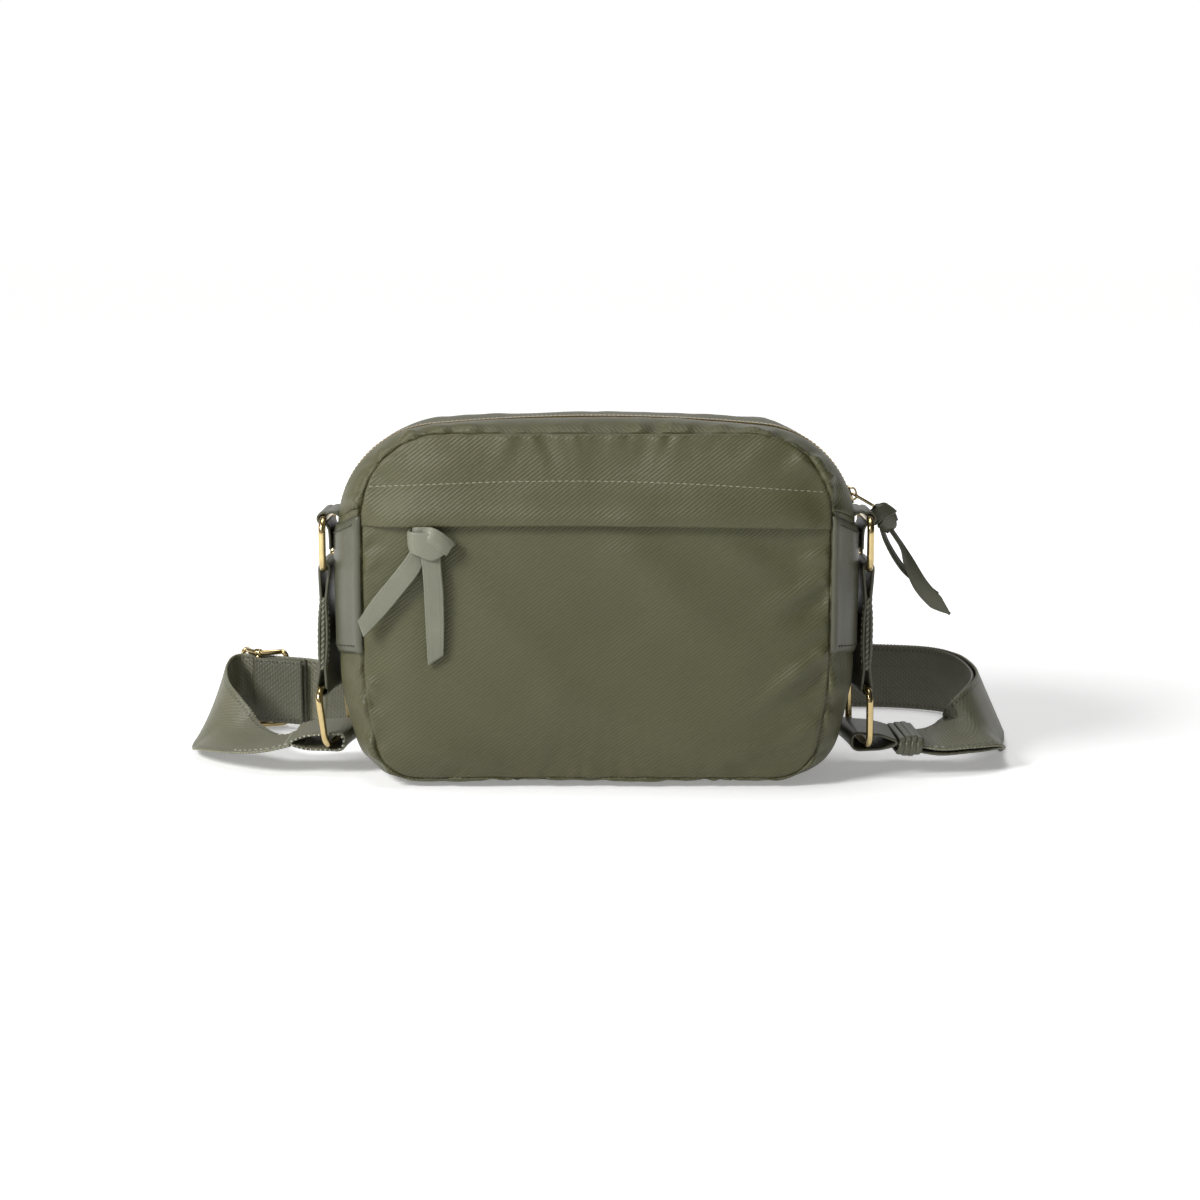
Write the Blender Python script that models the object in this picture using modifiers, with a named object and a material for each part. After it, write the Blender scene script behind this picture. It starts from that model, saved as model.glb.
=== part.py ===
"""Nylon crossbody bag with leather trim, brass rings and a webbing strap.

Metres, +Z up.  The front of the bag faces -Y.  The origin is the middle of the
base, on the plane that the bag stands on.  Each sub-part is one closed solid.
"""
import math

import bmesh
import bpy
from mathutils import Matrix, Vector

MM = 0.001
GAP = 0.3 * MM

# ------------------------------------------------------------------ driving dimensions
HALF_DEPTH = 38 * MM            # front and back seams stand this far from the middle
FABRIC = 1.0 * MM
LEATHER = 1.3 * MM

SEAM_HALF_WIDTH = 109.3 * MM    # outline of the front and back panels at their seam
SEAM_TOP = 168 * MM
SEAM_BOTTOM = 4.5 * MM
SEAM_TOP_RADIUS = 38 * MM
SEAM_BASE_REACH = 20 * MM

BULGE_HALF_WIDTH = 123.4 * MM   # outline of the gusset at the middle of its depth
BULGE_TOP = 172.5 * MM
BULGE_TOP_RADIUS = 48 * MM
BULGE_BASE_REACH = 27 * MM
ARC_CENTRE_Z = 121 * MM
ARC_CENTRE_X = BULGE_HALF_WIDTH - BULGE_TOP_RADIUS
FLAT_SHARE = 0.35               # share of the half depth over which the gusset is full

CORNER_BASE_Z = 24 * MM         # the base corners end and the sides begin here
SIDE_TAPER_Z = 60 * MM          # below this height the sides draw in
SEAM_TAPER = 4.5 * MM
BULGE_TAPER = 4.0 * MM
PATCH_BOTTOM = 62 * MM
PATCH_TOP = 120.5 * MM
BELLY_Z = 86 * MM               # the panels crown around this height
CROWN = 3.5 * MM

FLAP_EDGE_Z = 125.3 * MM        # front pocket: flap edge, zip line, topstitched fold
FRONT_ZIP_Z = 134 * MM
YOKE_BOTTOM = 140 * MM
PANEL_TOP = 128.5 * MM
FLAP_HINGE_Z = 144 * MM
FLAP_STAND_OFF = 4.0 * MM
FRONT_ZIP_HALF = 93 * MM
FRONT_ZIP_Y = -38.9 * MM

ZIP_GAP = 3.5 * MM              # half width of the opening between the fabric edges
TOOTH_HALF = 2.6 * MM
RAIL_GAP = 0.5 * MM
MAIN_SLIDER_ANGLE = math.radians(17)
ARCH_HEIGHT = 1.9 * MM          # the pull's bar, above the slider's face line

RING_WIRE = 1.7 * MM            # radius of the ring wire
RING_HALF_SPAN = 21.8 * MM      # ring bar centres, across the bag's depth
RING_CORNER = 6 * MM
RING_PLAY = 0.35 * MM
RING_TOP = Vector((129.6 * MM, 0, 125.2 * MM))
TAB_TOP = Vector((129.6 * MM, 0, 101.5 * MM))
TAB_BOTTOM = Vector((131.6 * MM, 0, 43.0 * MM))
STRAP_BAR = Vector((131.0 * MM, 0, 16.0 * MM))
TAB_WIDTH = 32 * MM
LOOP_WIDTH = 30 * MM
END_LOOP_SAG = 0.5 * MM         # room below and above a ring's bar in a strap-end loop
END_LOOP_RISE = 2.9 * MM

STRAP_WIDTH = 35 * MM
STRAP_THICKNESS = 1.4 * MM
LAYER_STEP = 2.6 * MM           # from the strap's outer layer to the layer inside it
FLOOR_CLEARANCE = 0.3 * MM

# The strap's middle line in millimetres, and the direction across its width, from
# the right ring round behind the bag to the left ring.
STRAP_ROUTE = [
    ((146, 0, 15.4), (0, 1, 0)),
    ((154.5, 0, 15.2), (0, 1, 0)),
    ((165, 0.5, 14.6), (-0.05, 1, 0.08)),
    ((176, 2.6, 16.6), (-0.13, 0.97, 0.22)),
    ((186, 7.5, 19), (-0.24, 0.86, 0.42)),
    ((191.8, 17.5, 20), (-0.34, 0.62, 0.68)),
    ((196.5, 31.5, 20.2), (-0.38, 0.34, 0.85)),
    ((201.2, 49, 20.2), (-0.4, 0.15, 0.9)),
    ((204.2, 69.5, 19.8), (-0.4, 0.04, 0.91)),
    ((203.6, 92, 19.4), (-0.35, 0, 0.93)),
    ((197, 114, 19), (-0.22, 0, 0.98)),
    ((181, 133, 18.6), (-0.05, 0, 1)),
    ((150, 142.5, 18.2), (0, 0, 1)),
    ((100, 144.5, 18.2), (0, 0, 1)),
    ((40, 138, 18.2), (0, 0, 1)),
    ((-20, 119, 18.2), (0, 0, 1)),
    ((-75, 95, 18.2), (0, 0, 1)),
    ((-115, 83.5, 18.8), (0, 0, 1)),
    ((-142, 83.9, 20.2), (0, 0, 1)),
    ((-154, 87.6, 20.9), (0, 0, 1)),
    ((-166, 92.2, 20.9), (0, 0, 1)),
    ((-178, 96.8, 20.9), (0, 0, 1)),
    ((-189.5, 100.4, 20.9), (0.02, 0, 1)),
    ((-196, 92.5, 20.4), (0.16, 0, 0.99)),
    ((-198.6, 77, 19.3), (0.3, 0, 0.95)),
    ((-198, 61, 17.9), (0.42, 0.05, 0.9)),
    ((-195.5, 46, 16.2), (0.52, 0.22, 0.82)),
    ((-190.3, 32.5, 13.8), (0.56, 0.5, 0.62)),
    ((-183.5, 21, 11.8), (0.54, 0.76, 0.3)),
    ((-171, 9.5, 10.6), (0.42, 0.9, 0.08)),
    ((-158, 1.2, 12.4), (0.15, 0.98, 0)),
    ((-147, 0, 15.6), (0, 1, 0)),
]
STRAP_STEPS = 3                 # stations of the strap's mesh between two route points
RETURN_LAST_POINT = 18          # the inner layer ends at this point of the route
ADJUSTER_POINT = 21             # the adjuster's bar stands at this point of the route

OLIVE = (0.105, 0.108, 0.052, 1)
OLIVE_LEATHER = (0.118, 0.125, 0.085, 1)
PULL_LEATHER = (0.165, 0.176, 0.125, 1)
WEBBING = (0.16, 0.158, 0.11, 1)
BRASS = (0.78, 0.57, 0.27, 1)
LINING = (0.2, 0.19, 0.15, 1)
FOAM = (0.7, 0.7, 0.66, 1)


# ------------------------------------------------------------------ scene and materials
def clear_scene():
    for obj in list(bpy.data.objects):
        bpy.data.objects.remove(obj, do_unlink=True)


def new_collection(name):
    collection = bpy.data.collections.new(name)
    bpy.context.scene.collection.children.link(collection)
    return collection


def make_material(name, colour, roughness, metallic=0.0):
    material = bpy.data.materials.new(name)
    material.use_nodes = True
    shader = material.node_tree.nodes["Principled BSDF"]
    shader.inputs["Base Color"].default_value = colour
    shader.inputs["Roughness"].default_value = roughness
    shader.inputs["Metallic"].default_value = metallic
    return material


clear_scene()
BAG = new_collection("crossbody_purse")
CUTTERS = new_collection("cutters")
MATERIALS = {
    "nylon": make_material("nylon", OLIVE, 0.55),
    "leather": make_material("leather", OLIVE_LEATHER, 0.45),
    "pull_leather": make_material("pull_leather", PULL_LEATHER, 0.45),
    "webbing": make_material("webbing", WEBBING, 0.6),
    "brass": make_material("brass", BRASS, 0.25, 1.0),
    "zip_tape": make_material("zip_tape", OLIVE, 0.75),
    "lining": make_material("lining", LINING, 0.7),
    "foam": make_material("foam", FOAM, 0.9),
}


# ------------------------------------------------------------------ small modelling tools
def add_object(name, data, material, collection=None):
    obj = bpy.data.objects.new(name, data)
    (collection or BAG).objects.link(obj)
    if material:
        obj.data.materials.append(MATERIALS[material])
    return obj


def grid_mesh(name, rows, closed=False):
    """A surface through rows of points; closed joins the last row to the first."""
    mesh = bpy.data.meshes.new(name)
    width = len(rows[0])
    points = [point for row in rows for point in row]
    faces = []
    row_count = len(rows) if closed else len(rows) - 1
    for i in range(row_count):
        here = i * width
        there = ((i + 1) % len(rows)) * width
        for j in range(width - 1):
            faces.append((here + j, here + j + 1, there + j + 1, there + j))
    mesh.from_pydata(points, [], faces)
    mesh.update()
    return mesh


def thicken(obj, thickness, offset=-1.0):
    solid = obj.modifiers.new("thickness", "SOLIDIFY")
    solid.thickness = thickness
    solid.offset = offset
    return obj


def sheet(name, rows, thickness, material, closed=False, offset=-1.0):
    obj = add_object(name, grid_mesh(name, rows, closed), material)
    return thicken(obj, thickness, offset)


def box(name, size, centre, material=None, collection=None):
    mesh = bpy.data.meshes.new(name)
    build = bmesh.new()
    bmesh.ops.create_cube(build, size=1.0)
    bmesh.ops.scale(build, vec=size, verts=build.verts)
    bmesh.ops.translate(build, vec=centre, verts=build.verts)
    build.to_mesh(mesh)
    build.free()
    return add_object(name, mesh, material, collection)


def combine(base, tools, operation="UNION"):
    """Join solids to the base one, or cut them from it; the tools stay as hidden guides."""
    for tool in tools:
        tool.hide_render = True
        tool.display_type = "WIRE"
        step = base.modifiers.new(operation.lower() + "_" + tool.name, "BOOLEAN")
        step.operation = operation
        step.object = tool
        step.solver = "EXACT"
    return base


def wire(name, points, radius, material, cyclic=False, sides=2):
    curve = bpy.data.curves.new(name, "CURVE")
    curve.dimensions = "3D"
    curve.bevel_depth = radius
    curve.bevel_resolution = sides
    curve.use_fill_caps = not cyclic
    spline = curve.splines.new("POLY")
    spline.points.add(len(points) - 1)
    for slot, point in zip(spline.points, points):
        slot.co = (*point, 1)
    spline.use_cyclic_u = cyclic
    return add_object(name, curve, material)


def side_profile(name, outlines, width, material):
    """A flat outline in the X-Z plane, with holes, extruded to a width along Y."""
    curve = bpy.data.curves.new(name, "CURVE")
    curve.dimensions = "2D"
    curve.fill_mode = "BOTH"
    curve.extrude = width / 2
    for outline in outlines:
        spline = curve.splines.new("POLY")
        spline.points.add(len(outline) - 1)
        for slot, (x, z) in zip(spline.points, outline):
            slot.co = (x, z, 0, 1)
        spline.use_cyclic_u = True
    obj = add_object(name, curve, material)
    obj.rotation_euler = (math.pi / 2, 0, 0)
    return obj


def soft_block(name, corners, material, levels=2):
    """A rounded lump from an eight-cornered cage: four corners below, four above."""
    mesh = bpy.data.meshes.new(name)
    faces = [(3, 2, 1, 0), (4, 5, 6, 7), (0, 1, 5, 4), (1, 2, 6, 5), (2, 3, 7, 6), (3, 0, 4, 7)]
    mesh.from_pydata(corners, [], faces)
    build = bmesh.new()
    build.from_mesh(mesh)
    bmesh.ops.recalc_face_normals(build, faces=build.faces)
    build.to_mesh(mesh)
    build.free()
    obj = add_object(name, mesh, material)
    smooth = obj.modifiers.new("round", "SUBSURF")
    smooth.levels = levels
    smooth.render_levels = levels
    for polygon in mesh.polygons:
        polygon.use_smooth = True
    return obj


def pivot(name, location):
    """An empty on a joint's axis, which the moving pieces hang from."""
    empty = bpy.data.objects.new(name, None)
    empty.location = location
    empty.empty_display_size = 5 * MM
    BAG.objects.link(empty)
    return empty


def hang(parent, *pieces):
    bpy.context.view_layer.update()
    for piece in pieces:
        piece.parent = parent
        piece.matrix_parent_inverse = parent.matrix_world.inverted()


def arc(centre_x, centre_z, radius, start, end, steps):
    """Points (x, z) on an arc, angles in degrees from +X towards +Z."""
    points = []
    for i in range(steps + 1):
        angle = math.radians(start + (end - start) * i / steps)
        points.append((centre_x + radius * math.cos(angle), centre_z + radius * math.sin(angle)))
    return points


def mirrored(point, side):
    return Vector((point.x * side, point.y, point.z))


# ------------------------------------------------------------------ the bag's outlines
SIDE_STATIONS = (45 * MM, PATCH_BOTTOM, 92 * MM, PATCH_TOP)
BASE_STEPS = 5
ARC_STEPS = 8
ARC_START = 4                   # degrees; the zip gusset starts here on the arc


def side_x(half_width, taper, z):
    below = max(0.0, SIDE_TAPER_Z - z) / (SIDE_TAPER_Z - CORNER_BASE_Z)
    return half_width - taper * below ** 2


def half_outline(half_width, taper, bottom, base_reach, arc_points, top):
    """Points (x, z) of the right half, from the middle of the base to the top."""
    corner_x = side_x(half_width, taper, CORNER_BASE_Z)
    flat_end = corner_x - base_reach
    points = [(0, bottom), (flat_end * 0.5, bottom)]
    for i in range(BASE_STEPS + 1):
        angle = math.pi / 2 * i / BASE_STEPS
        x = flat_end + base_reach * math.sin(angle)
        z = CORNER_BASE_Z - (CORNER_BASE_Z - bottom) * math.cos(angle)
        points.append((x, z))
    for z in SIDE_STATIONS:
        points.append((side_x(half_width, taper, z), z))
    points += arc_points
    last_x, last_z = arc_points[-1]
    points.append((last_x * 0.5, last_z + (top - last_z) * 0.75))
    points.append((0, top))
    return points


SEAM_ARC = arc(SEAM_HALF_WIDTH - SEAM_TOP_RADIUS, SEAM_TOP - SEAM_TOP_RADIUS,
               SEAM_TOP_RADIUS, 0, 90, ARC_STEPS)
BULGE_ARC = arc(ARC_CENTRE_X, ARC_CENTRE_Z, BULGE_TOP_RADIUS, ARC_START, 90, ARC_STEPS)
SEAM_HALF = half_outline(SEAM_HALF_WIDTH, SEAM_TAPER, SEAM_BOTTOM, SEAM_BASE_REACH,
                         SEAM_ARC, SEAM_TOP)
BULGE_HALF = half_outline(BULGE_HALF_WIDTH, BULGE_TAPER, 0, BULGE_BASE_REACH,
                          BULGE_ARC, BULGE_TOP)

# Station numbers along the right half outline.
PATCH_FIRST = 2 + BASE_STEPS + 1 + 1
PATCH_LAST = PATCH_FIRST + 2
ZIP_FIRST = PATCH_LAST + 1
TOP_STATION = len(SEAM_HALF) - 1


def full_loop(half):
    """The whole outline, anticlockwise seen from the front, from the base's middle."""
    left = [(-x, z) for x, z in reversed(half[1:-1])]
    return list(half) + left


SEAM_LOOP = full_loop(SEAM_HALF)
BULGE_LOOP = full_loop(BULGE_HALF)
LOOP_COUNT = len(SEAM_LOOP)


def inward(loop, index):
    before = Vector(loop[(index - 1) % LOOP_COUNT])
    after = Vector(loop[(index + 1) % LOOP_COUNT])
    along = (after - before).normalized()
    return Vector((-along.y, along.x))


def fullness(share):
    """How far the gusset stands out at a share of the half depth: 1 full, 0 at the seam."""
    beyond = max(0.0, abs(share) - FLAT_SHARE) / (1 - FLAT_SHARE)
    return 1 - beyond ** 2


def lean(share):
    """How much longer a step across the outline is than a step through the fabric."""
    beyond = max(0.0, abs(share) - FLAT_SHARE) / (1 - FLAT_SHARE)
    bulge = BULGE_HALF_WIDTH - SEAM_HALF_WIDTH
    slope = 2 * beyond * bulge / (HALF_DEPTH * (1 - FLAT_SHARE))
    return math.hypot(1, slope)


def gusset_point(index, share, inset=0.0):
    """A point of the gusset, moved through the fabric towards the inside by the inset."""
    seam = Vector(SEAM_LOOP[index])
    bulge = Vector(BULGE_LOOP[index])
    through = inward(BULGE_LOOP, index) * inset * lean(share)
    flat = seam.lerp(bulge, fullness(share)) + through
    return Vector((flat.x, share * HALF_DEPTH, flat.y))


def gusset_rows(indices, shares, inset=0.0, end_trim=0.0):
    """Rows of gusset points; end_trim draws the two end rows in by a share of a step."""
    rows = [[gusset_point(i % LOOP_COUNT, s, inset) for s in shares] for i in indices]
    if end_trim:
        rows[0] = [a.lerp(b, end_trim) for a, b in zip(rows[0], rows[1])]
        rows[-1] = [a.lerp(b, end_trim) for a, b in zip(rows[-1], rows[-2])]
    return rows


LOWER_STATIONS = range(-ZIP_FIRST, ZIP_FIRST + 1)
UPPER_STATIONS = range(ZIP_FIRST, LOOP_COUNT - ZIP_FIRST + 1)
END_TRIM = 0.08


# ------------------------------------------------------------------ fabric body
def build_gussets():
    across = (-1, -0.8, -0.6, -FLAT_SHARE, FLAT_SHARE, 0.6, 0.8, 1)
    sheet("gusset_lower", gusset_rows(LOWER_STATIONS, across, 0, END_TRIM), FABRIC, "nylon")
    edge = ZIP_GAP / HALF_DEPTH
    front = (-1, -0.8, -0.6, -FLAT_SHARE, -edge)
    back = tuple(-s for s in reversed(front))
    sheet("zip_gusset_front", gusset_rows(UPPER_STATIONS, front), FABRIC, "nylon")
    sheet("zip_gusset_back", gusset_rows(UPPER_STATIONS, back), FABRIC, "nylon")


def build_side_patches():
    across = (-0.96, -0.8, -0.6, -FLAT_SHARE, FLAT_SHARE, 0.6, 0.8, 0.96)
    stand_off = -(LEATHER + 1.5 * GAP)
    ranges = {
        "side_patch_right": range(PATCH_FIRST, PATCH_LAST + 1),
        "side_patch_left": range(-PATCH_LAST, -PATCH_FIRST + 1),
    }
    for name, stations in ranges.items():
        sheet(name, gusset_rows(stations, across, stand_off), LEATHER, "leather")


def panel_rows(shares, y_edge, crown, facing):
    """Concentric rings of the seam outline, crowned towards the belly of the panel."""
    rows = []
    for share in shares:
        y = facing * (y_edge + crown * (1 - share ** 4))
        row = [Vector((x * share, y, BELLY_Z + (z - BELLY_Z) * share)) for x, z in SEAM_LOOP]
        rows.append(row)
    return rows


def panel(name, y_edge, thickness, material, facing=-1, crown=CROWN, fit=1.0, keep=None):
    """A crowned panel; keep is the span of heights left after trimming."""
    shares = [fit, fit * 0.84, fit * 0.55, fit * 0.25]
    rows = panel_rows(shares, y_edge, crown, facing)
    mesh = bpy.data.meshes.new(name)
    build = bmesh.new()
    rings = [[build.verts.new(point) for point in row] for row in rows]
    for outer, inner in zip(rings, rings[1:]):
        for i in range(LOOP_COUNT):
            j = (i + 1) % LOOP_COUNT
            build.faces.new((outer[i], outer[j], inner[j], inner[i]))
    middle = build.verts.new((0, facing * (y_edge + crown), BELLY_Z))
    for i in range(LOOP_COUNT):
        build.faces.new((rings[-1][i], rings[-1][(i + 1) % LOOP_COUNT], middle))
    for height, normal in zip(keep or (), ((0, 0, -1), (0, 0, 1))):
        geometry = build.verts[:] + build.edges[:] + build.faces[:]
        bmesh.ops.bisect_plane(build, geom=geometry, plane_co=(0, 0, height),
                               plane_no=normal, clear_outer=True, dist=1e-6)
    if facing > 0:
        bmesh.ops.reverse_faces(build, faces=build.faces[:])
    build.to_mesh(mesh)
    build.free()
    return thicken(add_object(name, mesh, material), thickness)


def build_panels():
    outer = HALF_DEPTH + GAP + FABRIC
    panel("front_pocket_panel", outer, FABRIC, "nylon", keep=(0, PANEL_TOP))
    panel("front_yoke", outer, FABRIC, "nylon", keep=(YOKE_BOTTOM, 1))
    panel("back_panel", outer, FABRIC, "nylon", facing=1)
    flap = panel("pocket_flap", outer + FLAP_STAND_OFF, FABRIC, "nylon",
                 fit=0.985, keep=(FLAP_EDGE_Z, FLAP_HINGE_Z))
    hinge = pivot("flap_axis", (0, -outer - CROWN, FLAP_HINGE_Z))
    hang(hinge, flap)


def build_inside():
    pocket_y = HALF_DEPTH - 4.2 * MM
    foam_y = HALF_DEPTH - 6.4 * MM
    panel("front_pocket_lining", pocket_y, 0.5 * MM, "lining", fit=0.95, crown=2.0 * MM)
    panel("front_foam", foam_y, 2.0 * MM, "foam", fit=0.92, crown=2.0 * MM)
    panel("back_foam", foam_y, 2.0 * MM, "foam", fit=0.92, crown=2.0 * MM, facing=1)
    for name, side in (("seam_binding_front", -1), ("seam_binding_back", 1)):
        shares = sorted((side * 0.78, side * 0.95))
        rows = gusset_rows(range(LOOP_COUNT), shares, 2.0 * MM)
        sheet(name, rows, 0.8 * MM, "lining", closed=True)


def build_main_lining():
    """A lining bag: front, back and band, open along the zip."""
    inset = 5.5 * MM
    half = 28.5 * MM
    slot = 4 * MM
    depths = (-half, -slot, slot, half)
    mesh = bpy.data.meshes.new("main_lining")
    build = bmesh.new()
    loop = []
    for i, point in enumerate(SEAM_LOOP):
        shifted = Vector(point) + inward(SEAM_LOOP, i) * inset
        loop.append(shifted)
    rows = [[build.verts.new((p.x, y, p.y)) for y in depths] for p in loop]
    for i in range(LOOP_COUNT):
        j = (i + 1) % LOOP_COUNT
        for k in range(3):
            over_zip = k == 1 and ZIP_FIRST <= i < LOOP_COUNT - ZIP_FIRST
            if not over_zip:
                build.faces.new((rows[i][k], rows[j][k], rows[j][k + 1], rows[i][k + 1]))
    build.faces.new([row[0] for row in rows])
    build.faces.new([row[-1] for row in reversed(rows)])
    bmesh.ops.recalc_face_normals(build, faces=build.faces[:])
    build.to_mesh(mesh)
    build.free()
    thicken(add_object("main_lining", mesh, "lining"), 0.5 * MM)


# ------------------------------------------------------------------ main zip
def build_main_zip():
    tape_edge = TOOTH_HALF + GAP
    tape_reach = 9.5 * MM
    tape_inset = FABRIC + GAP
    rail_inset = 0.6 * MM
    for name, side in (("front", -1), ("back", 1)):
        tape = sorted((side * tape_edge / HALF_DEPTH, side * tape_reach / HALF_DEPTH))
        rows = gusset_rows(UPPER_STATIONS, tape, tape_inset)
        sheet("zip_tape_" + name, rows, 0.5 * MM, "zip_tape")
        rail = sorted((side * RAIL_GAP / HALF_DEPTH, side * TOOTH_HALF / HALF_DEPTH))
        rows = gusset_rows(UPPER_STATIONS, rail, rail_inset, 0.25)
        sheet("zip_teeth_" + name, rows, 1.8 * MM, "brass")
    last = LOOP_COUNT - ZIP_FIRST
    for name, end, neighbour in (("right", ZIP_FIRST, ZIP_FIRST + 1), ("left", last, last - 1)):
        place = gusset_point(end, 0, 1.4 * MM).lerp(gusset_point(neighbour, 0, 1.4 * MM), 0.14)
        box("zip_stop_" + name, (1.8 * MM, 4.4 * MM, 1.2 * MM), place, "brass")


def slider_body(name, matrix, arch_across=False):
    """A zip slider: travel along local X, its face towards local +Z.

    The arch that holds the pull runs along the travel, or across it.
    """
    face = box(name, (8.5 * MM, 6.2 * MM, 1.1 * MM), (0, 0, 0.45 * MM), "brass")
    neck = box(name + "_neck", (5 * MM, 0.5 * MM, 4.2 * MM), (0, 0, -1.6 * MM), None, CUTTERS)
    under = box(name + "_under", (7.0 * MM, 5 * MM, 0.9 * MM), (0, 0, -3.5 * MM), None, CUTTERS)
    tools = [neck, under]
    post_size = (0.9 * MM, 1.8 * MM, 2.4 * MM)
    lintel_size = (6.0 * MM, 1.8 * MM, 0.9 * MM)
    for label, place in (("front", -2.5 * MM), ("rear", 2.5 * MM)):
        size = (post_size[1], post_size[0], post_size[2]) if arch_across else post_size
        centre = (0, place, 2.0 * MM) if arch_across else (place, 0, 2.0 * MM)
        tools.append(box(name + "_" + label, size, centre, None, CUTTERS))
    if arch_across:
        lintel_size = (lintel_size[1], lintel_size[0], lintel_size[2])
    tools.append(box(name + "_lintel", lintel_size, (0, 0, 3.3 * MM), None, CUTTERS))
    for obj in [face] + tools:
        obj.matrix_world = matrix
    return combine(face, tools)


def rounded_loop(half_length, half_width, corner, corner_steps=4):
    """A closed rounded rectangle in a plane, as (along, across) pairs."""
    points = []
    for sign_x, sign_y, start in ((1, 1, 0), (-1, 1, 90), (-1, -1, 180), (1, -1, 270)):
        cx = sign_x * (half_length - corner)
        cy = sign_y * (half_width - corner)
        points += arc(cx, cy, corner, start, start + 90, corner_steps)
    return points


def link_loop(name, start, end, half_width, radius, material, corner, steps=4, spread=(0, 1, 0)):
    """A wire loop hanging from start to end, opened out along the spread direction."""
    middle = (start + end) / 2
    along = (end - start).normalized()
    half_length = (end - start).length / 2
    flat = rounded_loop(half_length, half_width, corner, steps)
    points = [middle + along * a + Vector(spread) * b for a, b in flat]
    return wire(name, points, radius, material, cyclic=True)


def tail_strip(name, route, material="leather", thickness=1.3 * MM):
    """A leather tail: stations of (centre, direction across, width)."""
    rows = []
    for centre, across, width in route:
        half = Vector(across).normalized() * width * MM / 2
        middle = Vector(centre) * MM
        rows.append([middle - half, middle + half])
    return sheet(name, rows, thickness, material, offset=0)


def arc_place(angle, radius):
    return Vector((ARC_CENTRE_X + radius * math.cos(angle), 0,
                   ARC_CENTRE_Z + radius * math.sin(angle)))


def build_main_pull():
    place = arc_place(MAIN_SLIDER_ANGLE, BULGE_TOP_RADIUS)
    turn = Matrix.Rotation(math.pi / 2 - MAIN_SLIDER_ANGLE, 4, "Y")
    slider = slider_body("main_slider_body", Matrix.Translation(place) @ turn)
    bridge = arc_place(MAIN_SLIDER_ANGLE, BULGE_TOP_RADIUS + ARCH_HEIGHT)
    link_end = Vector((133.6 * MM, 0, 129.6 * MM))
    link = link_loop("main_pull_link", bridge, link_end, 3.0 * MM, 0.6 * MM, "brass",
                     1.6 * MM, 3)
    knot_axis = link_end + (bridge - link_end).normalized() * 0.2 * MM

    down = Vector((0.66, 0, -0.75))
    across = Vector((0.75, 0, 0.66))
    top = Vector((135.6, 0, 127.8)) * MM
    corners = []
    for distance, half_width, half_depth in ((12.5, 4.6, 3.6), (0, 6.2, 4.6)):
        middle = top + down * distance * MM
        for side, depth in ((-1, -1), (1, -1), (1, 1), (-1, 1)):
            reach = across * side * half_width * MM
            corners.append(middle + reach + Vector((0, depth * half_depth * MM, 0)))
    knot = soft_block("main_pull_knot", corners, "leather")

    upper = tail_strip("main_tail_upper", [
        ((145.2, -1.5, 116.9), (0.3, 1, 0.2), 5), ((148.5, -2, 110.5), (0.4, 0.9, 0.2), 5.5),
        ((151.5, -2.6, 102.5), (0.8, 0.4, 0.3), 6.5), ((156.5, -3, 92.5), (0.86, 0.1, 0.45), 7.5),
        ((163, -3.2, 84.5), (0.75, 0, 0.65), 7.5), ((170.5, -3.4, 78), (0.66, 0, 0.75), 6)])
    lower = tail_strip("main_tail_lower", [
        ((141.8, 2.2, 113.2), (0.35, 1, 0.2), 5.5), ((145.2, 2.6, 105), (0.35, 1, 0.2), 6.5),
        ((150, 3.2, 97.5), (0.3, 1, 0.3), 6.5), ((157, 3.8, 91.5), (0.2, 1, 0.3), 6.5),
        ((166, 4.4, 85.5), (0.2, 1, 0.3), 6)])

    zip_axis = pivot("main_zip_axis", (ARC_CENTRE_X, 0, ARC_CENTRE_Z))
    pull_axis = pivot("main_pull_axis", bridge)
    tassel_axis = pivot("main_tassel_axis", knot_axis)
    hang(zip_axis, slider, pull_axis)
    hang(pull_axis, link, tassel_axis)
    hang(tassel_axis, knot, upper, lower)


# ------------------------------------------------------------------ front pocket zip
FRONT_SLIDER_X = -76 * MM


def build_front_zip():
    length = 2 * FRONT_ZIP_HALF
    for name, side in (("lower", -1), ("upper", 1)):
        middle = FRONT_ZIP_Z + side * (RAIL_GAP + TOOTH_HALF) / 2
        height = TOOTH_HALF - RAIL_GAP
        box("front_zip_teeth_" + name, (length, 1.8 * MM, height),
            (0, FRONT_ZIP_Y, middle), "brass")
        tape_z = FRONT_ZIP_Z + side * (TOOTH_HALF + GAP + 3.6 * MM)
        box("front_zip_tape_" + name, (length + 4 * MM, 0.5 * MM, 7.2 * MM),
            (0, FRONT_ZIP_Y + 1.6 * MM, tape_z), "zip_tape")


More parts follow.
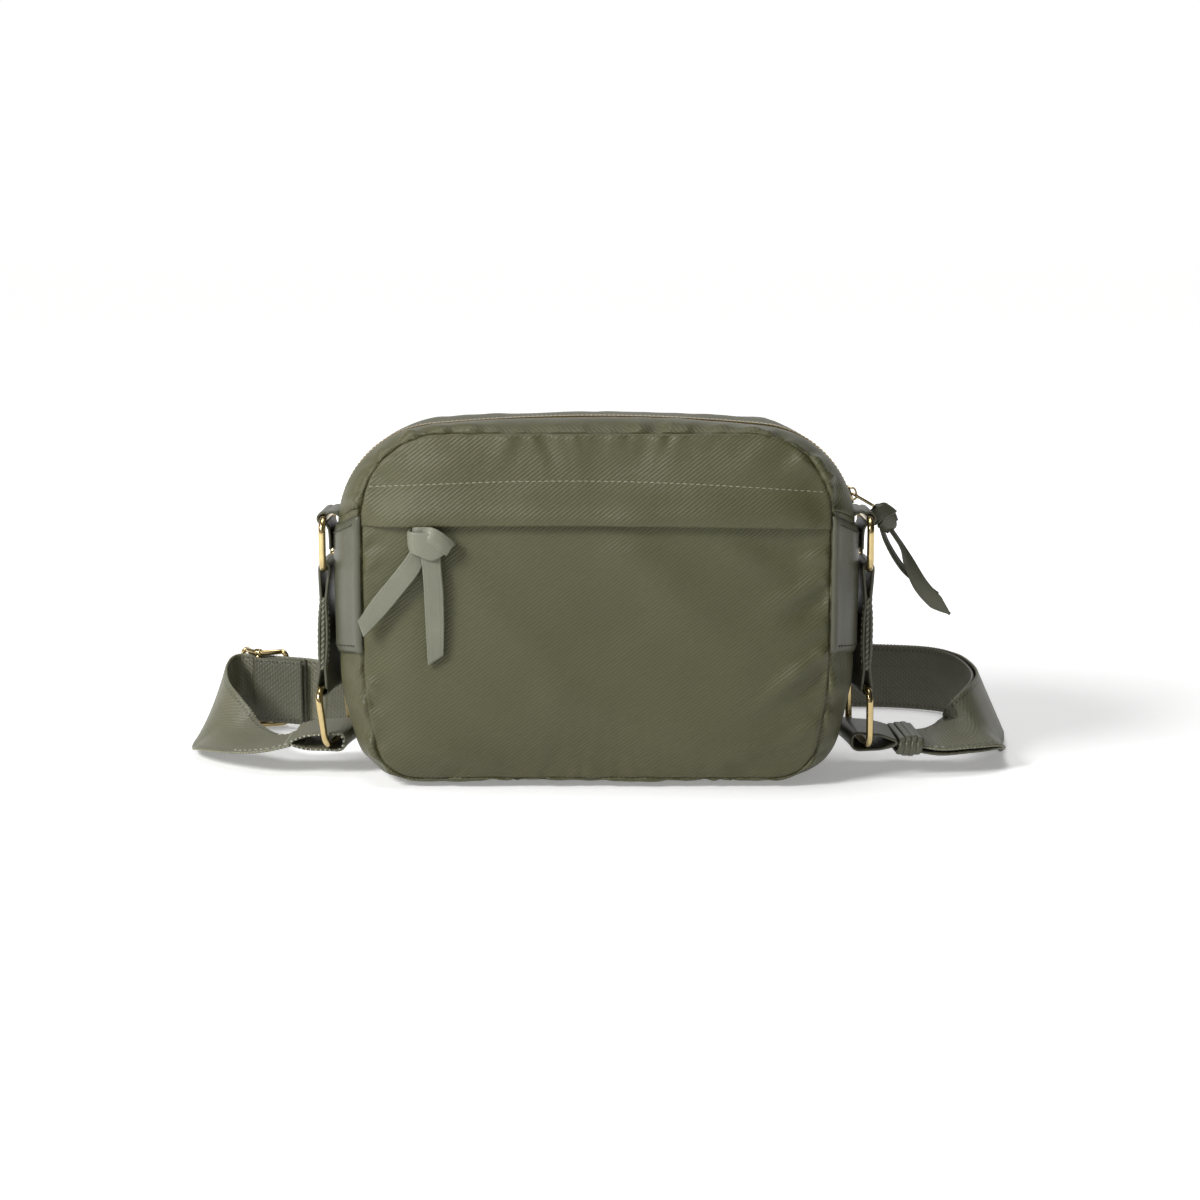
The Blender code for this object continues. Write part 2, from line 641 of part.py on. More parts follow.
def build_front_pull():
    face_y = FRONT_ZIP_Y - 0.9 * MM - 0.5 * MM
    place = Matrix.Translation((FRONT_SLIDER_X, face_y, FRONT_ZIP_Z))
    turn = Matrix.Rotation(math.pi / 2, 4, "X")
    slider = slider_body("front_slider_body", place @ turn, arch_across=True)
    bridge = Vector((FRONT_SLIDER_X, face_y - ARCH_HEIGHT, FRONT_ZIP_Z))
    drop = Vector((FRONT_SLIDER_X, bridge.y - 1.5 * MM, FRONT_ZIP_Z - 9.4 * MM))
    link = link_loop("front_pull_link", bridge, drop, 3.0 * MM, 0.6 * MM, "brass",
                     1.6 * MM, 3, spread=(1, 0, 0))
    knot_y = -47.6
    corners = []
    for z, left, right in ((108.2, -84.6, -69.4), (125.4, -87.6, -63.6)):
        for x, depth in ((left, -1), (right, -1), (right, 1), (left, 1)):
            corners.append(Vector((x, knot_y + depth * 3.1, z)) * MM)
    knot = soft_block("front_pull_knot", corners, "pull_leather")
    left = tail_strip("front_tail_left", [
        ((-84.8, -47.6, 108.2), (0.62, 0, -0.78), 9), ((-91.5, -47.2, 99.4), (0.66, 0, -0.75), 9.2),
        ((-100.5, -46.6, 88.6), (0.72, 0, -0.7), 9),
        ((-109.3, -46.2, 77.9), (0.35, 0, -0.94), 8.6)], "pull_leather")
    right = tail_strip("front_tail_right", [
        ((-75.2, -48.2, 106.8), (1, 0, 0.1), 8.6), ((-74.8, -47.8, 95), (1, 0, 0), 9),
        ((-74.6, -47.2, 80), (1, 0, 0), 8.8),
        ((-74.6, -46.6, 62.8), (0.8, 0, 0.55), 8.8)], "pull_leather")
    slide = pivot("front_zip_axis", (FRONT_SLIDER_X, FRONT_ZIP_Y, FRONT_ZIP_Z))
    pull_axis = pivot("front_pull_axis", bridge)
    hang(slide, slider, pull_axis)
    hang(pull_axis, link, knot, left, right)


# ------------------------------------------------------------------ rings, tabs and loops
def eye_circle(place, radius, steps=14):
    return arc(place.x, place.z, radius, 0, 360 - 360 / steps, steps - 1)


def build_ring_loop(name, side):
    """The leather loop that holds a ring to the bag: a foot and an eye."""
    outer = RING_WIRE + RING_PLAY + LEATHER
    foot_x = BULGE_HALF_WIDTH + LEATHER + 2 * GAP + 0.2 * MM
    top = arc(RING_TOP.x, RING_TOP.z, outer, -115, 120, 12)
    outline = top + [(foot_x, 129.6 * MM), (foot_x, 115.5 * MM), (foot_x + 1.2 * MM, 115.5 * MM)]
    hole = eye_circle(RING_TOP, RING_WIRE + RING_PLAY)
    outlines = [[(x * side, z) for x, z in loop] for loop in (outline, hole)]
    return side_profile(name, outlines, LOOP_WIDTH, "leather")


def build_link_tab(name, side):
    """Two layers of leather stitched together, with an eye for a ring at each end."""
    outer = RING_WIRE + RING_PLAY + LEATHER
    waist = 2 * LEATHER / 2 + 0.5 * MM
    tilt = math.degrees(math.atan2(TAB_BOTTOM.x - TAB_TOP.x, TAB_TOP.z - TAB_BOTTOM.z))
    top = arc(TAB_TOP.x, TAB_TOP.z, outer, -50 + tilt, 230 + tilt, 12)
    bottom = arc(TAB_BOTTOM.x, TAB_BOTTOM.z, outer, 130 + tilt, 410 + tilt, 12)
    along = (TAB_BOTTOM - TAB_TOP).normalized()
    sideways = Vector((-along.z, 0, along.x))
    neck_top = TAB_TOP + along * 9 * MM
    neck_bottom = TAB_BOTTOM - along * 9 * MM
    left = [neck_top - sideways * waist, neck_bottom - sideways * waist]
    right = [neck_bottom + sideways * waist, neck_top + sideways * waist]
    outline = top + [(p.x, p.z) for p in left] + bottom + [(p.x, p.z) for p in right]
    holes = [eye_circle(TAB_TOP, RING_WIRE + RING_PLAY), eye_circle(TAB_BOTTOM, RING_WIRE + RING_PLAY)]
    outlines = [[(x * side, z) for x, z in loop] for loop in [outline] + holes]
    return side_profile(name, outlines, TAB_WIDTH, "leather")


def build_strap_end(name, side, material):
    """The flat loop at the strap's end, round the lower ring's bar."""
    inner_low = STRAP_BAR.z - RING_WIRE - END_LOOP_SAG
    inner_high = STRAP_BAR.z + RING_WIRE + END_LOOP_RISE
    middle = (inner_low + inner_high) / 2
    half = (inner_high - inner_low) / 2
    back_x = STRAP_BAR.x - 3.5 * MM
    outlines = []
    for wall, tip_x in ((LEATHER, 145 * MM), (0, 141.5 * MM)):
        outline = arc(back_x, middle, half + wall, 90, 270, 10)
        outline += [(tip_x - 6 * MM, middle - half + 0.6 * MM - wall), (tip_x, middle - 1.6 * MM)]
        outline += [(tip_x, middle - 0.4 * MM), (tip_x - 6 * MM, middle + half - 1.2 * MM + wall)]
        outlines.append([(x * side, z) for x, z in outline])
    return side_profile(name, outlines, STRAP_WIDTH, material)


def build_hangers():
    for label, side in (("left", -1), ("right", 1)):
        build_ring_loop("ring_loop_" + label, side)
        ring_top = mirrored(RING_TOP, side)
        tab_top = mirrored(TAB_TOP, side)
        tab_bottom = mirrored(TAB_BOTTOM, side)
        strap_bar = mirrored(STRAP_BAR, side)
        upper = link_loop("upper_ring_" + label, ring_top, tab_top, RING_HALF_SPAN, RING_WIRE,
                          "brass", RING_CORNER)
        tab = build_link_tab("link_tab_" + label, side)
        lower = link_loop("lower_ring_" + label, tab_bottom, strap_bar, RING_HALF_SPAN,
                          RING_WIRE, "brass", RING_CORNER)
        upper_axis = pivot("upper_ring_axis_" + label, ring_top)
        tab_axis = pivot("link_tab_axis_" + label, tab_top)
        lower_axis = pivot("lower_ring_axis_" + label, tab_bottom)
        hang(upper_axis, upper, tab_axis)
        hang(tab_axis, tab, lower_axis)
        hang(lower_axis, lower)


# ------------------------------------------------------------------ strap
def smooth_route(values, steps):
    """Points along a smooth curve through the values (Catmull-Rom)."""
    values = [Vector(v) for v in values]
    points = []
    for i in range(len(values) - 1):
        before = values[max(i - 1, 0)]
        start, end = values[i], values[i + 1]
        after = values[min(i + 2, len(values) - 1)]
        for step in range(steps):
            t = step / steps
            bend = (2 * start + (end - before) * t
                    + (2 * before - 5 * start + 4 * end - after) * t ** 2
                    + (3 * start - before - 3 * end + after) * t ** 3)
            points.append(bend / 2)
    points.append(values[-1])
    return points


def strap_layer(name, first, last, inside):
    """A webbing layer between two route points, moved to the inside of the loop."""
    centres = smooth_route([Vector(c) * MM for c, _ in STRAP_ROUTE], STRAP_STEPS)
    widths = smooth_route([Vector(w).normalized() for _, w in STRAP_ROUTE], STRAP_STEPS)
    rows = []
    for i in range(first * STRAP_STEPS, last * STRAP_STEPS + 1):
        ahead = centres[min(i + 1, len(centres) - 1)] - centres[max(i - 1, 0)]
        across = widths[i] - ahead * widths[i].dot(ahead) / ahead.length_squared
        across.normalize()
        normal = across.cross(ahead).normalized()
        below = abs(across.z) * STRAP_WIDTH / 2 + abs(normal.z) * STRAP_THICKNESS / 2
        below += max(0.0, -normal.z) * LAYER_STEP
        lift = max(0.0, FLOOR_CLEARANCE + below - centres[i].z)
        middle = centres[i] + normal * inside + Vector((0, 0, lift))
        rows.append([middle - across * STRAP_WIDTH / 2, middle + across * STRAP_WIDTH / 2])
    return sheet(name, rows, STRAP_THICKNESS, "webbing", offset=0)


def adjuster_frame_axes():
    """Place, direction towards the right, and direction to the strap's outer side."""
    place = Vector(STRAP_ROUTE[ADJUSTER_POINT][0]) * MM
    before = Vector(STRAP_ROUTE[ADJUSTER_POINT - 1][0]) * MM
    along = before - place
    along.z = 0
    along.normalize()
    outward = Vector((-along.y, along.x, 0))
    return place, along, outward


def build_strap():
    last = len(STRAP_ROUTE) - 1
    strap_layer("strap_webbing", 0, last, 0)
    strap_layer("strap_return_webbing", 0, RETURN_LAST_POINT, LAYER_STEP)
    build_strap_end("strap_end_loop_right", 1, "leather")
    build_strap_end("strap_end_loop_left", -1, "webbing")


def build_keeper():
    """The leather band that holds the strap's layers together beside the right ring."""
    width = STRAP_WIDTH + 2 * (1.4 * MM + LEATHER)
    height = 9.4 * MM
    place = Vector((150 * MM, 0, 15 * MM))
    keeper = box("strap_keeper_right", (7 * MM, width, height), place, "leather")
    hollow = box("keeper_hollow", (20 * MM, width - 2 * LEATHER, height - 2 * LEATHER),
                 place, None, CUTTERS)
    combine(keeper, [hollow], "DIFFERENCE")


def build_adjuster():
    place, along, outward = adjuster_frame_axes()
    rail = 1.4 * MM
    half_length = 13 * MM
    low = GAP + rail
    high = place.z + STRAP_WIDTH / 2 + GAP + rail + 0.2 * MM
    bar_offset = -(STRAP_THICKNESS * 1.5 + 1.5 * MM + 2 * GAP)
    end_offset = STRAP_THICKNESS / 2 + 0.6 * MM + rail
    middle_z = (low + high) / 2
    points = []
    corner = 2.5 * MM
    flat = rounded_loop(half_length, (high - low) / 2, corner, 3)
    rail_stops = (-0.5, 0.0, 0.5)
    top = flat[:4] + [(-(half_length - corner) * stop, (high - low) / 2) for stop in rail_stops]
    bottom = flat[8:12] + [((half_length - corner) * stop, -(high - low) / 2)
                           for stop in rail_stops]
    for a, z in top + flat[4:8] + bottom + flat[12:]:
        bow = min(1.0, (a / (half_length - corner)) ** 2)
        offset = bar_offset + (end_offset - bar_offset) * bow
        point = place + along * a + outward * offset
        points.append(Vector((point.x, point.y, middle_z + z)))
    frame = wire("adjuster_frame", points, rail, "brass", cyclic=True)
    bar_foot = place + outward * bar_offset
    bar_low = Vector((bar_foot.x, bar_foot.y, low + rail + GAP))
    bar_high = Vector((bar_foot.x, bar_foot.y, high - rail - GAP))
    bar = wire("adjuster_bar", [bar_low, bar_high], 1.3 * MM, "brass")
    axis = pivot("adjuster_axis", bar_foot)
    hang(axis, frame, bar)

    reach = 27 * MM
    around = 1.3 * MM + GAP + STRAP_THICKNESS / 2
    profile = [(reach, around)]
    profile += [(x, y) for x, y in arc(0, 0, around, 90, 270, 8)]
    profile += [(reach, -around)]
    rows = []
    for a, b in profile:
        point = bar_foot + along * a + outward * b
        base_z = place.z - STRAP_WIDTH / 2 + GAP
        rows.append([Vector((point.x, point.y, base_z)),
                     Vector((point.x, point.y, base_z + STRAP_WIDTH - 2 * GAP))])
    sheet("strap_sewn_end", rows, STRAP_THICKNESS, "webbing", offset=0)


build_gussets()
build_side_patches()
build_panels()
build_inside()
build_main_lining()
build_main_zip()
build_main_pull()
build_front_zip()
build_front_pull()
build_hangers()
build_strap()
build_keeper()
build_adjuster()
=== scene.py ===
"""The looks of the crossbody bag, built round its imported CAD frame.

Metres, +Z up.  The front of the bag faces -Y.  Sizes in the tables are in
millimetres and are scaled by MM where a mesh is made.
"""
import math

import bmesh
import bpy
import numpy as np
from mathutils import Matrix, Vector


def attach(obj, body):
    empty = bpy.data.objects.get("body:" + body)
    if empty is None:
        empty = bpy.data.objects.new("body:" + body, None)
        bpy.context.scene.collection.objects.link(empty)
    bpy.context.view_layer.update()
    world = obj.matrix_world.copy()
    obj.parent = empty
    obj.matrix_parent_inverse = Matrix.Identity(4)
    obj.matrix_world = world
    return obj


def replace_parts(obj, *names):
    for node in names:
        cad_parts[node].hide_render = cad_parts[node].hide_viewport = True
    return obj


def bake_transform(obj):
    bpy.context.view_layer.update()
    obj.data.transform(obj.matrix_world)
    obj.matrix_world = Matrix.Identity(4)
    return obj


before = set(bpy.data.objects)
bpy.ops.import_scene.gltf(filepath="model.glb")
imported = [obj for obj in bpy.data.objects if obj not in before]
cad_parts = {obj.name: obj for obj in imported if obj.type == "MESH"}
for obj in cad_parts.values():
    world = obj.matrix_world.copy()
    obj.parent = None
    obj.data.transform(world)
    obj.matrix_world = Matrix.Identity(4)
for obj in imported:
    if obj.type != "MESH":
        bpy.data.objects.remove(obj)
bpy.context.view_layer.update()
MM = 0.001


# ------------------------------------------------------------------ numbers shared with the CAD
HALF_DEPTH = 38.0
PANEL_Y = 39.3
CROWN = 3.5
BELLY_Z = 86.0
ARC_CENTRE = (75.4, 121.0)
ARC_RADIUS = 48.0
SLIDER_ANGLE = math.radians(17)
RING_WIRE = 1.7
STRAP_WIDTH = 35.0
STRAP_THICKNESS = 1.4
LAYER_STEP = 2.6

STRAP_ROUTE = [
    ((146, 0, 15.4), (0, 1, 0)),
    ((154.5, 0, 15.2), (0, 1, 0)),
    ((165, 0.5, 14.6), (-0.05, 1, 0.08)),
    ((176, 2.6, 16.6), (-0.13, 0.97, 0.22)),
    ((186, 7.5, 19), (-0.24, 0.86, 0.42)),
    ((191.8, 17.5, 20), (-0.34, 0.62, 0.68)),
    ((196.5, 31.5, 20.2), (-0.38, 0.34, 0.85)),
    ((201.2, 49, 20.2), (-0.4, 0.15, 0.9)),
    ((204.2, 69.5, 19.8), (-0.4, 0.04, 0.91)),
    ((203.6, 92, 19.4), (-0.35, 0, 0.93)),
    ((197, 114, 19), (-0.22, 0, 0.98)),
    ((181, 133, 18.6), (-0.05, 0, 1)),
    ((150, 142.5, 18.2), (0, 0, 1)),
    ((100, 144.5, 18.2), (0, 0, 1)),
    ((40, 138, 18.2), (0, 0, 1)),
    ((-20, 119, 18.2), (0, 0, 1)),
    ((-75, 95, 18.2), (0, 0, 1)),
    ((-115, 83.5, 18.8), (0, 0, 1)),
    ((-142, 83.9, 20.2), (0, 0, 1)),
    ((-154, 87.6, 20.9), (0, 0, 1)),
    ((-166, 92.2, 20.9), (0, 0, 1)),
    ((-178, 96.8, 20.9), (0, 0, 1)),
    ((-189.5, 100.4, 20.9), (0.02, 0, 1)),
    ((-196, 92.5, 20.4), (0.16, 0, 0.99)),
    ((-198.6, 77, 19.3), (0.3, 0, 0.95)),
    ((-198, 61, 17.9), (0.42, 0.05, 0.9)),
    ((-195.5, 46, 16.2), (0.52, 0.22, 0.82)),
    ((-190.3, 32.5, 13.8), (0.56, 0.5, 0.62)),
    ((-183.5, 21, 11.8), (0.54, 0.76, 0.3)),
    ((-171, 9.5, 10.6), (0.42, 0.9, 0.08)),
    ((-158, 1.2, 12.4), (0.15, 0.98, 0)),
    ((-147, 0, 15.6), (0, 1, 0)),
]
RETURN_LAST_POINT = 18
ADJUSTER_POINT = 21


# ------------------------------------------------------------------ camera
def make_camera():
    """The photograph's view: about a metre in front of the bag and a little above it."""
    data = bpy.data.cameras.new("camera")
    data.lens = 65
    data.sensor_width = 36
    data.clip_start = 0.05
    data.clip_end = 50
    camera = bpy.data.objects.new("camera", data)
    bpy.context.scene.collection.objects.link(camera)
    eye = Vector((1.7, -1036.5, 253.5)) * MM
    target = Vector((1.7, -20.0, 87.0)) * MM
    camera.location = eye
    camera.rotation_mode = "QUATERNION"
    camera.rotation_quaternion = (target - eye).to_track_quat("-Z", "Y")
    bpy.context.scene.camera = camera


make_camera()


# ------------------------------------------------------------------ material tools
class Nodes:
    """A small helper for building one material's node tree."""

    def __init__(self, name):
        self.material = bpy.data.materials.new(name)
        self.material.use_nodes = True
        self.tree = self.material.node_tree
        self.shader = self.tree.nodes["Principled BSDF"]

    def add(self, kind, **values):
        node = self.tree.nodes.new(kind)
        for key, value in values.items():
            if hasattr(node, key):
                setattr(node, key, value)
            else:
                node.inputs[key.replace("_", " ")].default_value = value
        return node

    def link(self, source, target):
        self.tree.links.new(source, target)

    def fill(self, slot, value):
        """Sets a socket to a number or a colour, or links another node's output to it."""
        if isinstance(value, (int, float)):
            slot.default_value = value
        elif isinstance(value, tuple):
            slot.default_value = (*value, 1)
        else:
            self.link(value, slot)

    def math(self, operation, a, b=None):
        node = self.add("ShaderNodeMath", operation=operation)
        self.fill(node.inputs[0], a)
        if b is not None:
            self.fill(node.inputs[1], b)
        return node.outputs[0]

    def near(self, value, place, steepness):
        """1 where the value is at the place, falling to 0 on both sides."""
        gap = self.math("ABSOLUTE", self.math("SUBTRACT", value, place))
        return self.math("SUBTRACT", 1.0, self.math("MINIMUM", self.math("MULTIPLY", gap, steepness), 1.0))

    def coordinates(self, kind, scale=(1, 1, 1), rotation=0.0):
        source = self.add("ShaderNodeTexCoord")
        mapping = self.add("ShaderNodeMapping")
        mapping.inputs["Scale"].default_value = scale
        mapping.inputs["Rotation"].default_value = (0, 0, rotation)
        self.link(source.outputs[kind], mapping.inputs["Vector"])
        return mapping.outputs["Vector"]

    def noise(self, vector, scale, detail=2.0, rough=0.5):
        node = self.add("ShaderNodeTexNoise")
        node.inputs["Scale"].default_value = scale
        node.inputs["Detail"].default_value = detail
        node.inputs["Roughness"].default_value = rough
        self.link(vector, node.inputs["Vector"])
        return node.outputs["Fac"]

    def wave(self, vector, scale, direction="X", distortion=0.0):
        node = self.add("ShaderNodeTexWave", bands_direction=direction)
        node.inputs["Scale"].default_value = scale
        node.inputs["Distortion"].default_value = distortion
        node.inputs["Detail"].default_value = 1.0
        self.link(vector, node.inputs["Vector"])
        return node.outputs["Fac"]

    def ramp(self, value, stops):
        node = self.add("ShaderNodeValToRGB")
        ramp = node.color_ramp
        while len(ramp.elements) < len(stops):
            ramp.elements.new(0.5)
        for element, (place, colour) in zip(ramp.elements, stops):
            element.position = place
            element.color = (*colour, 1)
        self.link(value, node.inputs["Fac"])
        return node.outputs["Color"]

    def mix(self, factor, first, second):
        node = self.add("ShaderNodeMix", data_type="RGBA")
        for slot, value in ((0, factor), (6, first), (7, second)):
            self.fill(node.inputs[slot], value)
        return node.outputs[2]

    def bump(self, height, strength, distance, before=None):
        node = self.add("ShaderNodeBump")
        node.inputs["Strength"].default_value = strength
        node.inputs["Distance"].default_value = distance
        self.link(height, node.inputs["Height"])
        if before is not None:
            self.link(before, node.inputs["Normal"])
        return node.outputs["Normal"]

    def finish(self, colour, roughness, normal=None, metallic=0.0, **sockets):
        self.fill(self.shader.inputs["Base Color"], colour)
        self.fill(self.shader.inputs["Roughness"], roughness)
        self.shader.inputs["Metallic"].default_value = metallic
        if normal is not None:
            self.link(normal, self.shader.inputs["Normal"])
        for name, value in sockets.items():
            self.shader.inputs[name.replace("_", " ")].default_value = value
        return self.material


def shade(colour, factor):
    return tuple(min(1.0, c * factor) for c in colour)


# ------------------------------------------------------------------ materials
NYLON = (0.060, 0.058, 0.0245)
LEATHER_COLOUR = (0.072, 0.073, 0.046)
PULL_COLOUR = (0.163, 0.166, 0.118)
WEB_COLOUR = (0.092, 0.09, 0.058)
THREAD = (0.27, 0.27, 0.19)
GOLD = (0.56, 0.435, 0.215)


def nylon_material():
    """Fine nylon twill.  UVs are in metres."""
    n = Nodes("nylon_twill")
    uv = n.coordinates("UV", (1000, 1000, 1))
    place = n.coordinates("Object")
    twill = n.wave(n.coordinates("UV", (1000, 1000, 1), math.radians(52)), 0.205)
    cross = n.wave(uv, 0.62, "X", 0.6)
    slub = n.noise(n.coordinates("UV", (150, 900, 1)), 1.4, 2)
    cloud = n.noise(place, 16, 3)
    fine = n.math("ADD", n.math("MULTIPLY", twill, 0.7), n.math("MULTIPLY", cross, 0.3))
    tone = n.math("ADD", n.math("MULTIPLY", cloud, 0.55), n.math("MULTIPLY", slub, 0.45))
    base = n.ramp(tone, [(0.3, shade(NYLON, 0.9)), (0.7, shade(NYLON, 1.1))])
    colour = n.mix(n.math("MULTIPLY", fine, 0.42), base, shade(NYLON, 1.75))
    normal = n.bump(fine, 0.55, 0.0003)
    normal = n.bump(n.noise(place, 130, 3), 0.06, 0.0005, normal)
    rough = n.math("ADD", n.math("MULTIPLY", fine, 0.12), 0.4)
    return n.finish(colour, rough, normal, Sheen_Weight=0.04, Sheen_Roughness=0.35,
                    Specular_IOR_Level=0.42)


def leather_material(name, colour, roughness, grain=1.0):
    n = Nodes(name)
    place = n.coordinates("Object")
    cell = n.add("ShaderNodeTexVoronoi")
    cell.inputs["Scale"].default_value = 1350
    n.link(place, cell.inputs["Vector"])
    cloud = n.noise(place, 42, 4)
    pores = n.noise(place, 900, 2)
    base = n.ramp(cloud, [(0.3, shade(colour, 0.88)), (0.72, shade(colour, 1.1))])
    tone = n.mix(n.math("MULTIPLY", pores, 0.25), base, shade(colour, 0.7))
    normal = n.bump(cell.outputs["Distance"], 0.16 * grain, 0.0003)
    normal = n.bump(cloud, 0.2, 0.0012, normal)
    rough = n.math("ADD", n.math("MULTIPLY", pores, 0.16), roughness - 0.08)
    return n.finish(tone, rough, normal, Specular_IOR_Level=0.5)


def webbing_material(name, colour):
    """Woven webbing: UV x runs across the width and y along it, in metres."""
    n = Nodes(name)
    across = n.coordinates("UV", (1000, 1000, 1))
    rib = n.wave(across, 0.2, "Y", 0.35)
    chevron = n.wave(n.coordinates("UV", (1000, 1000, 1), math.radians(38)), 0.165)
    yarn = n.wave(across, 0.5, "X", 0.5)
    weave = n.math("ADD", n.math("MULTIPLY", rib, 0.35), n.math("MULTIPLY", chevron, 0.4))
    weave = n.math("ADD", weave, n.math("MULTIPLY", yarn, 0.25))
    cloud = n.noise(n.coordinates("UV", (90, 30, 1)), 1.6, 3)
    separate = n.add("ShaderNodeSeparateXYZ")
    n.link(across, separate.inputs[0])
    distance = n.math("ABSOLUTE", separate.outputs["X"])
    tick = n.math("MULTIPLY", n.near(distance, 15.2, 0.9), n.wave(across, 0.13, "Y"))
    middle = n.near(distance, 6.0, 1.6)
    base = n.ramp(cloud, [(0.3, shade(colour, 0.9)), (0.7, shade(colour, 1.08))])
    light = n.mix(n.math("MULTIPLY", weave, 0.8), base, shade(colour, 1.95))
    dark = n.mix(n.math("MULTIPLY", tick, 0.75), light, shade(colour, 0.28))
    dark = n.mix(n.math("MULTIPLY", middle, 0.22), dark, shade(colour, 0.55))
    height = n.math("SUBTRACT", weave, n.math("MULTIPLY", tick, 0.8))
    normal = n.bump(height, 0.6, 0.00045)
    rough = n.math("ADD", n.math("MULTIPLY", weave, 0.15), 0.36)
    return n.finish(dark, rough, normal, Sheen_Weight=0.05, Sheen_Roughness=0.35,
                    Specular_IOR_Level=0.5)


def brass_material():
    n = Nodes("gold_plate")
    place = n.coordinates("Object")
    cloud = n.noise(place, 260, 3)
    scratch = n.noise(n.coordinates("Object", (300, 300, 2200)), 1.0, 2)
    colour = n.ramp(cloud, [(0.35, shade(GOLD, 0.92)), (0.7, shade(GOLD, 1.05))])
    rough = n.math("ADD", n.math("MULTIPLY", scratch, 0.14), 0.13)
    normal = n.bump(scratch, 0.05, 0.0002)
    return n.finish(colour, rough, normal, metallic=1.0)


def cloth_material(name, colour, pitch):
    """Plain woven cloth: linings, tapes and foam backing."""
    n = Nodes(name)
    place = n.coordinates("Object", (1000, 1000, 1000))
    warp = n.wave(place, pitch, "X", 0.4)
    weft = n.wave(place, pitch, "Z", 0.4)
    weave = n.math("MULTIPLY", n.math("ADD", warp, weft), 0.5)
    cloud = n.noise(place, 0.03, 3)
    base = n.ramp(cloud, [(0.3, shade(colour, 0.86)), (0.7, shade(colour, 1.08))])
    tone = n.mix(n.math("MULTIPLY", weave, 0.3), base, shade(colour, 1.4))
    return n.finish(tone, 0.75, n.bump(weave, 0.35, 0.0002), Sheen_Weight=0.05)


def thread_material(name, colour):
    n = Nodes(name)
    place = n.coordinates("Object", (1000, 1000, 1000))
    ply = n.wave(place, 1.1, "DIAGONAL", 0.5)
    tone = n.mix(n.math("MULTIPLY", ply, 0.5), shade(colour, 0.8), shade(colour, 1.25))
    return n.finish(tone, 0.6, n.bump(ply, 0.4, 0.0001))


NYLON_MATERIAL = nylon_material()
LEATHER = leather_material("smooth_leather", LEATHER_COLOUR, 0.42)
PULL_LEATHER = leather_material("pull_leather_finish", PULL_COLOUR, 0.5, 1.3)
WEBBING = webbing_material("webbing_satin", WEB_COLOUR)
# painted shade: a darker copy of the webbing for the strap's inner layer and its sewn end, standing in for
# the shade behind the bag
WEBBING_INNER_SHADED = webbing_material("webbing_inner_painted_shade", shade(WEB_COLOUR, 0.66))
BRASS = brass_material()
TAPE = cloth_material("zip_tape_weave", (0.05, 0.05, 0.026), 0.5)
LINING = cloth_material("lining_weave", (0.2, 0.19, 0.15), 0.6)
FOAM = cloth_material("foam_scrim", (0.55, 0.55, 0.5), 0.35)
THREAD_LIGHT = thread_material("thread_light", THREAD)
THREAD_DARK = thread_material("thread_dark", shade(NYLON, 0.55))
THREAD_PALE = thread_material("thread_pale", (0.5, 0.5, 0.42))


# ------------------------------------------------------------------ mesh tools
def make_piece(name, points, faces, material, body="root", uv=None, smooth=True):
    """A mesh piece from points in millimetres, riding on a body."""
    mesh = bpy.data.meshes.new(name)
    points = np.asarray(points, float) * MM
    mesh.from_pydata([tuple(p) for p in points], [], [tuple(int(i) for i in f) for f in faces])
    if uv is not None:
        layer = mesh.uv_layers.new(name="UVMap")
        index = np.zeros(len(mesh.loops), int)
        mesh.loops.foreach_get("vertex_index", index)
        layer.data.foreach_set("uv", (np.asarray(uv, float)[index] * MM).astype(np.float32).ravel())
    mesh.update()
    if smooth:
        mesh.polygons.foreach_set("use_smooth", [True] * len(mesh.polygons))
    obj = bpy.data.objects.new(name, mesh)
    bpy.context.scene.collection.objects.link(obj)
    mesh.materials.append(material)
    if body:
        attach(obj, body)
    return obj


def grid_faces(rows, columns, wrap_rows=False, wrap_columns=False, start=0):
    faces = []
    for i in range(rows if wrap_rows else rows - 1):
        for j in range(columns if wrap_columns else columns - 1):
            a = i * columns + j
            b = i * columns + (j + 1) % columns
            c = ((i + 1) % rows) * columns + (j + 1) % columns
            d = ((i + 1) % rows) * columns + j
            faces.append((start + a, start + b, start + c, start + d))
    return faces


def apply_modifiers(obj):
    """Bake an object's modifiers into its mesh."""
    bpy.context.view_layer.update()
    graph = bpy.context.evaluated_depsgraph_get()
    mesh = bpy.data.meshes.new_from_object(obj.evaluated_get(graph))
    old = obj.data
    obj.modifiers.clear()
    obj.data = mesh
    bpy.data.meshes.remove(old)
    return obj


def subdivide(obj):
    smooth = obj.modifiers.new("smooth", "SUBSURF")
    smooth.levels = 1
    smooth.render_levels = 1
    return obj


def thicken(obj, thickness):
    """Gives a sheet its thickness on the side away from its normals."""
    solid = obj.modifiers.new("thickness", "SOLIDIFY")
    solid.thickness = thickness * MM
    solid.offset = -1.0
    solid.use_even_offset = False
    return obj


def unit(v):
    v = np.asarray(v, float)
    return v / np.maximum(np.linalg.norm(v, axis=-1, keepdims=True), 1e-12)


def smooth_curve(values, steps):
    """Points on a smooth curve through the values (Catmull-Rom)."""
    v = np.asarray(values, float)
    out = []
    for i in range(len(v) - 1):
        p0, p1, p2, p3 = v[max(i - 1, 0)], v[i], v[i + 1], v[min(i + 2, len(v) - 1)]
        for k in range(steps):
            t = k / steps
            out.append((2 * p1 + (p2 - p0) * t + (2 * p0 - 5 * p1 + 4 * p2 - p3) * t ** 2
                        + (3 * p1 - p0 - 3 * p2 + p3) * t ** 3) / 2)
    out.append(v[-1])
    return np.array(out)


def line_length(points):
    """How far along the line each of its points is."""
    step = np.linalg.norm(np.diff(points, axis=0), axis=1)
    return np.concatenate([[0], np.cumsum(step)])


def between(at, along, values):
    """Rows of values, read at places between those listed in along."""
    return np.stack([np.interp(at, along, values[:, k]) for k in range(values.shape[1])], 1)


